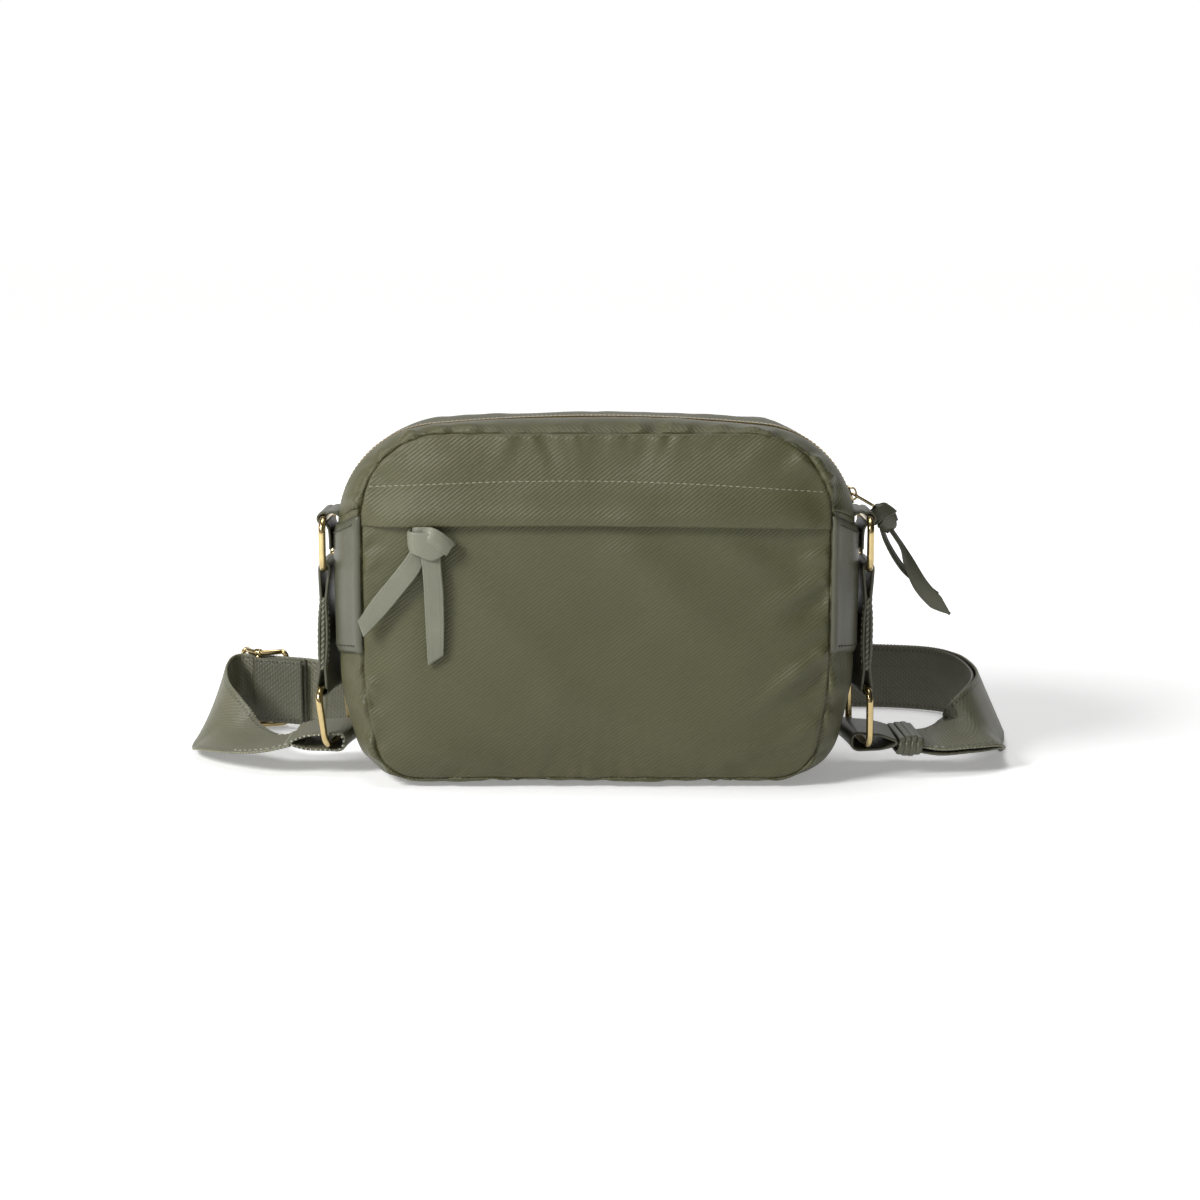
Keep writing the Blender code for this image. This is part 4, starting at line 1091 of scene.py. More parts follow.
def add_hem(obj):
    """Folds the flap's lower edge back behind it."""
    build = bmesh.new()
    build.from_mesh(obj.data)
    edges = [e for e in build.edges if e.is_boundary
             and all(abs(v.co.z / MM - flap_edge_z(v.co.x / MM)) < 0.15 for v in e.verts)]
    for down, inward in ((0.35, 0.7), (0.1, 0.75), (-3.0, 0.1)):
        made = bmesh.ops.extrude_edge_only(build, edges=edges)["geom"]
        verts = [g for g in made if isinstance(g, bmesh.types.BMVert)]
        for vert in verts:
            vert.co.y += inward * MM
            vert.co.z -= down * MM
        edges = [g for g in made if isinstance(g, bmesh.types.BMEdge)]
    build.to_mesh(obj.data)
    build.free()


add_hem(upper_front)


def crease_panel(obj, side, covered):
    """Folds and gathers on a panel's finer mesh, smaller where the flap covers it."""
    points = vertex_array(obj)
    flat = points[:, (0, 2)]
    share, radius = outline_share(flat)
    distance = np.clip(1 - share, 0, 1) * radius
    angle = np.arctan2(flat[:, 1] - BELLY_Z, flat[:, 0])
    lift = 1.7 * seam_gathers(angle * 95, distance, 40.0 + 60.0 * (side > 0))
    if side < 0:
        lift += creased(flat) * np.minimum(1, distance / 2.5)
    lift *= 1 - covered * soft_step(flat[:, 1], 112, 119)
    points[:, 1] += side * lift
    move_vertices(obj, points)


for panel_obj, cloth, side, covered in ((lower_front, 0.8, -1, 0.7), (back, 0.8, 1, 0),
                                        (upper_front, 0.7, -1, 0)):
    apply_modifiers(subdivide(panel_obj))
    crease_panel(panel_obj, side, covered)
    thicken(panel_obj, cloth)
    apply_modifiers(panel_obj)
    panel_obj.data.polygons.foreach_set("use_smooth", [True] * len(panel_obj.data.polygons))
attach(lower_front, "root")
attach(back, "root")
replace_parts(lower_front, "front_pocket_panel")
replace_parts(back, "back_panel")
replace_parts(upper_front, "front_yoke", "pocket_flap")
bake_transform(upper_front)


# ------------------------------------------------------------------ gusset pieces
def gusset_uv(stations, columns):
    around = line_length(BULGE[np.asarray(stations) % LOOP])
    return np.stack(np.broadcast_arrays(around[:, None], np.asarray(columns)[None, :]), -1)


def gather_gusset(obj):
    """Wrinkles on the gusset's finer mesh; its UVs say how far round and across a vertex is."""
    mesh = obj.data
    index = np.zeros(len(mesh.loops), int)
    mesh.loops.foreach_get("vertex_index", index)
    values = np.zeros(len(mesh.loops) * 2)
    mesh.uv_layers[0].data.foreach_get("uv", values)
    place = np.zeros((len(mesh.vertices), 2))
    place[index] = values.reshape(-1, 2) / MM
    points = vertex_array(obj)
    normals = np.zeros(len(mesh.vertices) * 3)
    mesh.vertices.foreach_get("normal", normals)
    distance = np.maximum(0, HALF_DEPTH - np.abs(place[:, 1]))
    near_zip = np.clip((np.abs(place[:, 1]) - 4.5) / 10, 0, 1)
    high = points[:, 2] > 121
    room = np.where(high, near_zip, 1.0) * soft_step(points[:, 2], 1.0, 8.0)
    corner = 1 + 0.5 * soft_step(points[:, 2], 118, 140) * soft_step(np.abs(points[:, 0]), 60, 85)
    lift = 2.0 * seam_gathers(place[:, 0], distance, np.where(place[:, 1] > 0, 5.0, 90.0)) * room * corner
    move_vertices(obj, points + normals.reshape(-1, 3) * lift[:, None])


def gusset_piece(name, stations, first, last, node, turn_in):
    """Part of the gusset's face, with its free edges turned in."""
    stations = np.asarray(stations)
    grid = GUSSET_FACE[stations % LOOP][:, first:last + 1]
    columns = COLUMNS[first:last + 1]
    inward = unit((SEAM_IN[stations % LOOP] + BULGE_IN[stations % LOOP])[:, None])
    parts, places = [grid], [columns]
    for at_end, deep in turn_in:
        edge = grid[:, -1:] if at_end else grid[:, :1]
        sign = 1 if at_end else -1
        shift = np.concatenate([inward[..., :1] * deep, np.full_like(inward[..., :1], sign * 0.15),
                                inward[..., 1:] * deep], -1)
        piece = edge + shift
        if at_end:
            parts.append(piece)
            places.append([columns[-1] + deep])
        else:
            parts.insert(0, piece)
            places.insert(0, [columns[0] - deep])
    grid = np.concatenate(parts, 1)
    places = np.concatenate(places)
    rows, count = grid.shape[:2]
    uv = gusset_uv(stations, places).reshape(-1, 2)
    obj = make_piece(name, grid.reshape(-1, 3), grid_faces(rows, count), NYLON_MATERIAL, None,
                     uv)
    middle = obj.data.polygons[len(obj.data.polygons) // 2]
    outward = middle.center.x * middle.normal.x + (middle.center.z - BELLY_Z * MM) * middle.normal.z
    if outward < 0:
        obj.data.flip_normals()
    apply_modifiers(subdivide(obj))
    gather_gusset(obj)
    thicken(obj, 0.8)
    apply_modifiers(obj)
    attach(obj, "root")
    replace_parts(obj, node)


LAST_COLUMN = len(COLUMNS) - 1
gusset_piece("gusset_lower_face", range(-ZIP_START, ZIP_START + 1), 0, LAST_COLUMN, "gusset_lower",
             ((False, 1.6), (True, 1.6)))
upper_stations = range(ZIP_START, LOOP - ZIP_START + 1)
gusset_piece("zip_gusset_front_face", upper_stations, 0, ZIP_COLUMN - 1, "zip_gusset_front",
             ((False, 1.6), (True, 0.9)))
gusset_piece("zip_gusset_back_face", upper_stations, ZIP_COLUMN + 1, LAST_COLUMN, "zip_gusset_back",
             ((False, 0.9), (True, 1.6)))


# ------------------------------------------------------------------ side patches
def laid_on(obj, line, out):
    """The line's nearest points on a mesh's outer face, and the normals there."""
    places, normals = [], []
    for point, direction in zip(line, out):
        start = Vector((point + direction * 3) * MM)
        _, place, normal, _ = obj.closest_point_on_mesh(start)
        places.append(np.array(place) / MM)
        normals.append(np.array(normal))
    return np.array(places), np.array(normals)


def side_station(z):
    """The outline's station nearest to a height on the side."""
    share = (z - CORNER_TOP) / (ARC_CENTRE[1] - CORNER_TOP)
    return BASE_CELLS + CORNER_CELLS + int(round(share * SIDE_CELLS))


def side_patch(name, side, node):
    """A leather patch over the gusset, with rolled edges, sewn along top and bottom."""
    first, last = side_station(62.5), side_station(120.8)
    stations = np.arange(first, last + 1) if side > 0 else np.arange(LOOP - last, LOOP - first + 1)
    columns = np.concatenate([COLUMNS[1:6], np.linspace(-31.5, 31.5, 25), COLUMNS[-6:-1]])
    rest = gusset_shape(columns)
    moved = np.stack([between(columns, COLUMNS, GUSSET_FACE[s % LOOP]) for s in stations])
    grid = 0.75 * rest[stations % LOOP] + 0.25 * moved
    inward = BULGE_IN[stations % LOOP][:, None]
    stand = np.full(grid.shape[:2], 1.35) * np.minimum(1, 0.45 + (HALF_DEPTH - np.abs(columns)) / 9)
    stand += noise3(grid + 5, 26) * 0.25
    stand[0] = stand[-1] = 0.25
    share = np.abs(columns) / HALF_DEPTH
    slope = np.maximum(0, share - 0.35) / 0.65 * 0.9
    out = np.stack([-inward[..., 0] * np.ones_like(columns), np.sign(columns) * slope * np.ones(
        (len(stations), 1)), -inward[..., 1] * np.ones_like(columns)], -1)
    grid = grid + unit(out) * stand[..., None]
    rows, count = grid.shape[:2]
    uv = gusset_uv(stations, columns).reshape(-1, 2)
    obj = make_piece(name, grid.reshape(-1, 3), grid_faces(rows, count), LEATHER, None, uv)
    middle = obj.data.polygons[len(obj.data.polygons) // 2]
    if middle.center.x * middle.normal.x < 0:
        obj.data.flip_normals()
    subdivide(obj)
    thicken(obj, 1.1)
    apply_modifiers(obj)
    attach(obj, "root")
    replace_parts(obj, node)
    for label, row in (("low", 1), ("high", -2)):
        line = grid[row, 3:-3]
        away = grid[row + 1 if row > 0 else row - 1, 3:-3] - line
        line, normal = laid_on(obj, line + unit(away) * 0.3, unit(out)[row, 3:-3])
        stitches(name + "_stitch_" + label, line, normal, THREAD_DARK, "root",
                 pitch=3.0, length=1.9, radius=0.42, sink=0.0)


side_patch("side_patch_right_face", 1, "side_patch_right")
side_patch("side_patch_left_face", -1, "side_patch_left")


# ------------------------------------------------------------------ topstitch and seams
def dropped_on(obj, xs, zs):
    """Points straight behind these, on a mesh's front face, and the normals there."""
    graph = bpy.context.evaluated_depsgraph_get()
    target = obj.evaluated_get(graph)
    places, normals = [], []
    for x, z in zip(xs, zs):
        hit, place, normal, _ = target.ray_cast(Vector((x * MM, -0.2, z * MM)), Vector((0, 1, 0)))
        if hit:
            places.append(np.array(place) / MM)
            normals.append(np.array(normal))
    return np.array(places), np.array(normals)


stitch_x = np.linspace(-105.6, 105.6, 160)
stitch_z = 146.1 - 4.0 * (stitch_x / 104) ** 2 - 1.2 * (stitch_x / 104)
line, normals = dropped_on(upper_front, stitch_x, stitch_z)
stitches("flap_topstitch", line, normals, THREAD_LIGHT, "root", pitch=3.0, length=2.2,
         radius=0.25, sink=0.1)


# ------------------------------------------------------------------ main zip
def zip_teeth(name, side, node):
    """A row of moulded metal teeth gripping the tape's edge."""
    first, last = ZIP_START + 0.3, LOOP - ZIP_START - 0.3
    stations = np.linspace(first, last, 700)
    inward = between(stations, np.arange(LOOP), BULGE_IN)
    flat = between(stations, np.arange(LOOP), BULGE) - inward * 0.1
    along = line_length(flat)
    pitch = 2.15
    count = int(along[-1] / pitch) - 1
    at = (np.arange(count) + (0.25 if side > 0 else 0.75)) * pitch + 1.5
    place = between(at, along, flat)
    out = -unit(between(at, along, inward))
    run = np.stack([out[:, 1], -out[:, 0]], 1)
    profile = [(-0.62, -0.5), (-0.5, 0.55), (-0.28, 0.8), (0.28, 0.8), (0.5, 0.55), (0.62, -0.5)]
    reach = [(-0.55, 0.7), (0.1, 0.92), (0.9, 0.92), (2.35, 1.0), (2.6, 0.85)]
    points, faces = [], []
    per = len(profile) * len(reach)
    for k in range(count):
        for y, scale in reach:
            for a, h in profile:
                flat_point = place[k] + run[k] * a * scale + out[k] * h * scale
                points.append((flat_point[0], side * y, flat_point[1]))
        faces += skin_faces(len(reach), len(profile), start=k * per)
    obj = make_piece(name, points, faces, BRASS, "root", smooth=False)
    fix_normals(obj)
    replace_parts(obj, node)


zip_teeth("zip_teeth_row_front", -1, "zip_teeth_front")
zip_teeth("zip_teeth_row_back", 1, "zip_teeth_back")


def zip_cord(name, side):
    """The corded edge of the tape that the teeth grip."""
    stations = np.arange(ZIP_START, LOOP - ZIP_START + 1)
    flat = BULGE[stations] + BULGE_IN[stations] * 0.5
    line = np.stack([flat[:, 0], np.full(len(flat), side * 2.5), flat[:, 1]], 1)
    tube(name, line, 0.55, TAPE, "root", sides=8)


zip_cord("zip_cord_front", -1)
zip_cord("zip_cord_back", 1)


# ------------------------------------------------------------------ zip sliders
def slider(name, body, origin, run, out, node):
    """A zip slider's shaped plate above and below the teeth; slider_arch makes the arch for the pull."""
    run, out = unit(run), unit(out)
    side = np.cross(out, run)
    plate = []
    for a in np.linspace(0, 2 * np.pi, 40, endpoint=False):
        c, s = math.cos(a), math.sin(a)
        x = 4.5 * math.copysign(abs(c) ** 0.62, c)
        y = 3.2 * math.copysign(abs(s) ** 0.55, s) * (1 - 0.16 * (x < 0) * abs(x) / 4.5)
        plate.append((x, y))
    plate = np.array(plate)
    layers = [(-0.15, 0.93), (0.0, 1.0), (0.75, 1.0), (1.05, 0.94), (1.15, 0.84)]
    points, faces = [], []
    for base in (0.0, -4.5):
        start = len(points)
        for h, scale in layers:
            height = base + (h if base == 0 else 1.0 - h)
            for x, y in plate * scale:
                points.append(np.asarray(origin) + run * x + side * y + out * height)
        crown = np.asarray(origin) + out * (1.28 if base == 0 else base - 0.2)
        faces += grid_faces(len(layers), len(plate), wrap_columns=True, start=start)
        points.append(crown)
        last = start + (len(layers) - 1) * len(plate)
        for i in range(len(plate)):
            faces.append((last + i, last + (i + 1) % len(plate), len(points) - 1))
        faces.append(tuple(start + i for i in range(len(plate)))[::-1])
    obj = make_piece(name, points, faces, BRASS, body)
    fix_normals(obj)
    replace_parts(obj, node)
    return side


def slider_arch(name, body, origin, run, out, side):
    """The small arch over the slider's plate, with room for the pull's link."""
    angle = np.radians(np.linspace(180, 0, 25))
    x = 2.9 * np.sign(np.cos(angle)) * np.abs(np.cos(angle)) ** 0.6
    h = 0.9 + 2.6 * np.abs(np.sin(angle)) ** 0.7
    line = np.asarray(origin) + np.outer(x, unit(run)) + np.outer(h, unit(out))
    sweep(name, line, side, strip_section(2.0, 0.85, 6), BRASS, body)


def on_arc(angle, radius):
    return np.array([ARC_CENTRE[0] + radius * math.cos(angle), 0,
                     ARC_CENTRE[1] + radius * math.sin(angle)])


MAIN_OUT = np.array([math.cos(SLIDER_ANGLE), 0, math.sin(SLIDER_ANGLE)])
MAIN_RUN = np.array([math.sin(SLIDER_ANGLE), 0, -math.cos(SLIDER_ANGLE)])
MAIN_PLACE = on_arc(SLIDER_ANGLE, ARC_RADIUS + 0.2)
side = slider("main_slider_plates", "main_slider", MAIN_PLACE, MAIN_RUN, MAIN_OUT, "main_slider_body")
slider_arch("main_slider_arch", "main_slider", MAIN_PLACE, MAIN_RUN, MAIN_OUT, side)
FRONT_PLACE = np.array([-76, -39.9, 134.0])
slider("front_slider_plates", "front_slider", FRONT_PLACE, (1, 0, 0), (0, -1, 0), "front_slider_body")
slider_arch("front_slider_arch", "front_slider", FRONT_PLACE, (0, 0, 1), (0, -1, 0),
            np.array([1.0, 0, 0]))


def wire_loop(name, body, start, end, half_width, radius, corner, spread, node, sides=20):
    """A wire loop that hangs from start to end."""
    start, end = np.asarray(start, float), np.asarray(end, float)
    along = unit(end - start)
    half = np.linalg.norm(end - start) / 2
    flat = dense(rounded_rectangle(half, half_width, corner, 10), 0.6 if radius > 1 else 0.35)
    line = (start + end) / 2 + np.outer(flat[:, 0], along) + np.outer(flat[:, 1], np.asarray(spread, float))
    obj = tube(name, line, radius, BRASS, body, True, sides)
    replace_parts(obj, node)


MAIN_BRIDGE = on_arc(SLIDER_ANGLE, ARC_RADIUS + 1.9)
MAIN_LINK_END = np.array([133.6, 0, 129.6])
wire_loop("main_pull_wire", "main_pull", MAIN_BRIDGE, MAIN_LINK_END, 3.0, 0.6, 1.8, (0, 1, 0),
          "main_pull_link", 12)
FRONT_BRIDGE = np.array([-76, -40.3 - 1.9, 134.0])
wire_loop("front_pull_wire", "front_pull", FRONT_BRIDGE, FRONT_BRIDGE + (0, -1.5, -9.4), 3.0, 0.6, 1.8,
          (1, 0, 0), "front_pull_link", 12)


# ------------------------------------------------------------------ rings, loops and tabs
RING_TOP, TAB_TOP = (129.6, 125.2), (129.6, 101.5)
STRAP_BAR_Z = 16.0              # the height of the lower ring's bar that holds the strap
RING_HALF_WIDTH = 21.8          # from the ring's middle to the middle of its wire
TAB_STITCH_Y = 14.4             # where the link tab's face stitches run
TAB_EDGE_Y = 15.95              # the tab's cut edge, where its edge thread shows
TWIST = {"left": math.radians(10), "right": math.radians(7)}
LOWER_PLACES = {"left": ((133.2, 43.0), (129.9, 16.0)), "right": ((130.7, 43.0), (131.1, 16.0))}


def at_side(point, side):
    return np.array([point[0] * side, 0.0, point[1]])


def twisted(line, hand, angle):
    """Turns each station's place and direction across about the ring's near side."""
    across = np.stack([-hand * np.sin(angle), np.cos(angle), np.zeros(len(line))], 1)
    line = line.copy()
    line[:, 0] -= hand * RING_HALF_WIDTH * np.sin(angle)
    return line, across


def band_round(name, path, side, width, thickness, material, body, node, closed=True,
               groove=0.0, angle=None):
    """A leather or webbing band whose side view is the path, lying across the bag's depth."""
    path = np.asarray(path, float)
    line = np.stack([path[:, 0] * side, np.zeros(len(path)), path[:, 1]], 1)
    across = (0, 1, 0)
    if angle is not None:
        line, across = twisted(line, side, angle)
    section = strip_section(width, thickness, 16, 3, groove)
    obj = sweep(name, line, across, section, material, body, closed)
    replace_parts(obj, node)


PINCH_SHARES = np.array([0.19, 0.27, 0.4, 0.5, 0.6, 0.73, 0.81])
PINCHES = np.array([0.8, 0.56, 0.9, 1.0, 1.0, 0.9, 0.62])
TAB_GRIP = 1.85


def tab_path(lower_place):
    """Side view of the link tab: round the upper eye, down, round the lower eye, and up."""
    top, bottom = np.array(TAB_TOP), np.array(lower_place)
    along = unit(bottom - top)
    out = np.array([-along[1], along[0]])
    heading = math.degrees(math.atan2(along[1], along[0]))
    eye = RING_WIRE + 0.35 + 0.7
    upper = arc_points(*top, eye, heading + 90 + 25, heading + 270 - 25, 26)
    lower = arc_points(*bottom, eye, heading - 90 + 25, heading + 90 - 25, 26)
    length = np.linalg.norm(bottom - top)

    def flank(sign):
        place = top + np.outer(PINCH_SHARES * length, along)
        return place + sign * np.outer(PINCHES, out) * TAB_GRIP

    one, other = flank(1), flank(-1)
    if (upper[0] - top) @ out < 0:
        one, other = other, one
    if ((lower[0] - bottom) @ out) * ((one[0] - top) @ out) > 0:
        lower = lower[::-1]
    return dense(np.concatenate([upper, other, lower, one[::-1]]), 0.8)


def tab_angle(z, label):
    """The tab hangs flat at its top and turns with the lower ring at its foot."""
    return TWIST[label] * soft_step(97 - np.asarray(z, float), 0, 48)


for label, hand in (("left", -1), ("right", 1)):
    low_place, bar_place = LOWER_PLACES[label]
    wire_loop("upper_ring_wire_" + label, "upper_ring_" + label, at_side(RING_TOP, hand),
              at_side(TAB_TOP, hand), RING_HALF_WIDTH, RING_WIRE, 6, (0, 1, 0), "upper_ring_" + label, 28)
    twist = TWIST[label]
    inward = np.array([-hand * RING_HALF_WIDTH * math.sin(twist), 0, 0])
    wire_loop("lower_ring_wire_" + label, "lower_ring_" + label, at_side(low_place, hand) + inward,
              at_side(bar_place, hand) + inward, RING_HALF_WIDTH, RING_WIRE, 6,
              (-hand * math.sin(twist), math.cos(twist), 0), "lower_ring_" + label, 28)
    tab_body = "link_tab_" + label
    path = smooth_loop(tab_path(low_place))
    band_round("link_tab_band_" + label, path, hand, 32, 1.6, LEATHER, tab_body,
               "link_tab_" + label, groove=0.25, angle=tab_angle(path[:, 1], label))
    along = unit(np.array(low_place) - TAB_TOP)
    out = np.array([-along[1], along[0]])
    filler = resample(np.array([np.array(TAB_TOP) + along * 14, np.array(low_place) - along * 9]), 40)
    angle = tab_angle(filler[:, 1], label)
    middle = np.stack([filler[:, 0] * hand, np.zeros(40), filler[:, 1]], 1)
    line, across = twisted(middle, hand, angle)
    sweep("link_tab_filler_" + label, line, across, strip_section(31.9, 2.3, 8, 3), LEATHER,
          tab_body)
    share = np.linalg.norm(filler - TAB_TOP, axis=1) / np.linalg.norm(np.array(low_place) - TAB_TOP)
    stand = 0.83 + TAB_GRIP * np.interp(share, PINCH_SHARES, PINCHES)
    for face, offset in (("out", 1), ("in", -1)):
        direction = np.array([out[0] * offset * hand, 0, out[1] * offset])
        for edge in (-TAB_STITCH_Y, TAB_STITCH_Y):
            row = line + across * edge + np.outer(stand, direction)
            name = "link_tab_stitch_" + label + "_" + face + ("_near" if edge < 0 else "_far")
            stitches(name, row, direction, THREAD_LIGHT, tab_body, 2.8, 2.0, 0.26)
    for edge in (-TAB_EDGE_Y, TAB_EDGE_Y):
        row = line + across * edge
        direction = across[0] * math.copysign(1, edge)
        name = "link_tab_edge_thread_" + label + ("_near" if edge < 0 else "_far")
        stitches(name, row, direction, THREAD_LIGHT, tab_body, 2.7, 2.6, 0.3, sink=0.05,
                 tilt=math.radians(42))
    # the loop that holds the upper ring to the bag
    eye = RING_WIRE + 0.35 + 0.75
    around = arc_points(*RING_TOP, eye, -112, 118, 40)
    foot = np.array([(126.75, 110.5), (126.8, 114), (126.9, 117.5), (127.3, 120.4)])
    head = np.array([(126.3, 128.4), (124.2, 128.0), (122.0, 126.6)])
    path = resample(smooth_curve(np.concatenate([foot, around[::3], head]), 4), 90)
    band_round("ring_loop_band_" + label, path, hand, 30, 1.3, LEATHER, "root",
               "ring_loop_" + label, closed=False, groove=0.2)
    for row in (8, 15):
        x, z = path[row]
        line = np.stack([np.full(40, (x + 0.7) * hand), np.linspace(-13.2, 13.2, 40), np.full(40, z)], 1)
        stitches("ring_loop_stitch_%s_%d" % (label, row), line, (hand, 0, 0), THREAD_LIGHT, "root",
                 2.8, 2.0, 0.24)


# ------------------------------------------------------------------ strap ends
def strap_end_path(tip_x, bar_x):
    """Side view of the strap's end: a loop round the lower ring's bar, closed at its tip."""
    low = STRAP_BAR_Z - RING_WIRE - 0.5 - 0.7
    high = STRAP_BAR_Z + RING_WIRE + 2.9 + 0.7
    middle, half = (low + high) / 2, (high - low) / 2
    back = arc_points(bar_x - 3.5, middle, half, 90, 270, 30)
    bottom = [(tip_x - 8.5, low + 0.5), (tip_x - 4, middle - 2.4), (tip_x - 0.6, middle - 1.3)]
    top = [(tip_x - 0.6, middle + 0.3), (tip_x - 4, middle + 1.4), (tip_x - 8.5, high - 0.9)]
    return smooth_loop(dense(np.concatenate([back, bottom, top]), 0.7), 8)


TIPS = {"left": 148.5, "right": 146.0}
END_PATHS = {label: strap_end_path(TIPS[label], LOWER_PLACES[label][1][0]) for label in TIPS}


def end_angle(path, label):
    """The loop turns with the ring at its back and lies square where the strap begins."""
    return TWIST[label] * soft_step(144 - path[:, 0], 0, 13)


band_round("strap_end_band_right", END_PATHS["right"], 1, STRAP_WIDTH, 1.35, LEATHER, "root",
           "strap_end_loop_right", groove=0.2, angle=end_angle(END_PATHS["right"], "right"))
band_round("strap_end_band_left", END_PATHS["left"], -1, STRAP_WIDTH, 1.4, WEBBING, "root",
           "strap_end_loop_left", angle=end_angle(END_PATHS["left"], "left"))


# ------------------------------------------------------------------ keeper
def keeper():
    """The leather cord wound round the strap's layers beside the right ring."""
    centre = np.array([150.4, 0.0, 15.0])
    turns = ((-4.2, 3.2), (-1.4, 4.0), (1.4, 4.2), (4.2, 3.4))
    for number, (offset, half_height) in enumerate(turns):
        loop = dense(rounded_rectangle(18.9, half_height, half_height * 0.96, 8), 0.8)
        lean = offset + 0.24 * loop[:, 1] - 0.045 * loop[:, 0]
        line = centre + np.stack([lean, loop[:, 0], loop[:, 1]], 1)
        turn = sweep("strap_keeper_turn_%d" % number, line, (1, 0, 0), strip_section(3.3, 2.0, 8, 5),
                     LEATHER, "root", True)
        if number == 1:
            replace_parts(turn, "strap_keeper_right")


keeper()


# ------------------------------------------------------------------ adjuster
def adjuster():
    """The gold slider on the strap: a bowed frame, its bar and the knuckle at its top."""
    place = np.array(STRAP_ROUTE[ADJUSTER_POINT][0], float)
    along = np.array(STRAP_ROUTE[ADJUSTER_POINT - 1][0], float) - place
    along[2] = 0
    along = unit(along)
    outward = np.array([-along[1], along[0], 0.0])
    rail, half_length = 1.4, 13.0
    low = 0.3 + rail
    high = place[2] + STRAP_WIDTH / 2 + 0.5 + rail
    bar_offset = -(STRAP_THICKNESS * 1.5 + 2.1)
    end_offset = STRAP_THICKNESS / 2 + 0.6 + rail
    flat = dense(rounded_rectangle(half_length, (high - low) / 2, 3.0, 8), 0.6)
    bow = np.minimum(1, (flat[:, 0] / (half_length - 2.5)) ** 2)
    offset = bar_offset + (end_offset - bar_offset) * bow
    line = place * (1, 1, 0) + np.outer(flat[:, 0], along) + np.outer(offset, outward)
    line[:, 2] = (low + high) / 2 + flat[:, 1]
    frame_obj = tube("adjuster_frame_wire", line, rail, BRASS, "adjuster", True, 24)
    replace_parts(frame_obj, "adjuster_frame")
    foot = place * (1, 1, 0) + outward * bar_offset
    bar = np.stack([np.full(12, foot[0]), np.full(12, foot[1]), np.linspace(low + 0.2, high - 0.2, 12)], 1)
    bar_obj = tube("adjuster_bar_wire", bar, 1.3, BRASS, "adjuster", False, 20)
    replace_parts(bar_obj, "adjuster_bar")
    for label, z, most in (("top", high, 2.05), ("bottom", low, 1.65)):
        span = np.linspace(-2.1, 2.1, 15)
        knuckle = np.stack([foot[0] + along[0] * span, foot[1] + along[1] * span, np.full(15, z)], 1)
        size = 2.05 * np.sqrt(np.clip(1 - (np.abs(span) / 2.25) ** 6, 0.05, 1))
        tube("adjuster_knuckle_" + label, knuckle, np.minimum(size, most), BRASS, "adjuster",
             False, 20)
    # the strap's sewn end, turned round the bar
    reach, around = 27.0, 1.3 + 0.3 + STRAP_THICKNESS / 2
    profile = [(reach, around), (18, around), (9, around)]
    profile += [tuple(p) for p in arc_points(0, 0, around, 90, 270, 17)]
    profile += [(9, -around), (18, -around), (reach, -around)]
    profile = resample(np.array(profile), 70)
    line = foot + np.outer(profile[:, 0], along) + np.outer(profile[:, 1], outward)
    line[:, 2] = place[2]
    section = strip_section(STRAP_WIDTH - 0.6, STRAP_THICKNESS, 14, 3)
    # the sewn end wears the darker webbing copy, painted shade inside the strap's turn
    end = sweep("strap_sewn_end_fold", line, (0, 0, 1), section, WEBBING_INNER_SHADED, None)
    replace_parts(end, "strap_sewn_end")
    return end, foot, along


SEWN_END, BAR_FOOT, STRAP_ALONG = adjuster()


# ------------------------------------------------------------------ strap stitching
STITCH_ROW_Y = 15.2             # how far the long seams lie from the strap's middle
END_ROW = np.linspace(-14.8, 14.8, 30)


def zigzag_box(name, share_from, share_to):
    """A sewn box with a zigzag across the strap's outer face, where the layers are joined."""
    base, normal = strap_surface(share_from, share_to, 0.0, -1, 60)
    across = strap_across(np.linspace(share_from, share_to, 60) * STRAP_STATIONS)
    legs = 7
    t = np.linspace(0, 1, 60)
    swing = 2 * np.abs(((t * legs) % 2) - 1) - 1
    line = base + across * (swing * 14.2)[:, None]
    stitches(name + "_zigzag", resample(line, 300), normal[0], THREAD_LIGHT, "root", 2.7, 2.0)
    for number, place in enumerate((0, -1)):
        edge = base[place] + np.outer(END_ROW, across[place])
        stitches(name + "_end_%d" % number, edge, normal[place], THREAD_LIGHT, "root", 2.7, 2.0)


zigzag_box("strap_join", 18.2, 19.8)
for number, across in enumerate((-STITCH_ROW_Y, STITCH_ROW_Y)):
    for label, start, end in (("right", 0.75, 2.2), ("left", 29.2, 30.9)):
        line, normal = strap_surface(start, end, across, -1, 120)
        stitches("strap_end_seam_%s_%d" % (label, number), line, normal, THREAD_PALE, "root")
for number, share in enumerate((0.75, 30.6, 30.9)):
    line, normal = strap_surface(share, share + 0.02, 0, -1, 2)
    pick = int(share * STRAP_STATIONS)
    row = line[0] + np.outer(np.linspace(-14.8, 14.8, 40), STRAP_ACROSS[pick])
    stitches("strap_end_row_%d" % number, row, normal[0], THREAD_PALE, "root", 2.7, 2.0)


def flecks(name, line, out):
    """The cut edge of the webbing, where light and dark yarn ends show."""
    stitches(name + "_light", line, out, THREAD_PALE, "root", 2.25, 1.1, 0.46, sink=0.12)
    shifted = np.roll(resample(line, len(line)), 1, 0)[1:]
    stitches(name + "_dark", shifted, out, THREAD_DARK, "root", 1.875, 0.8, 0.48, sink=0.16)


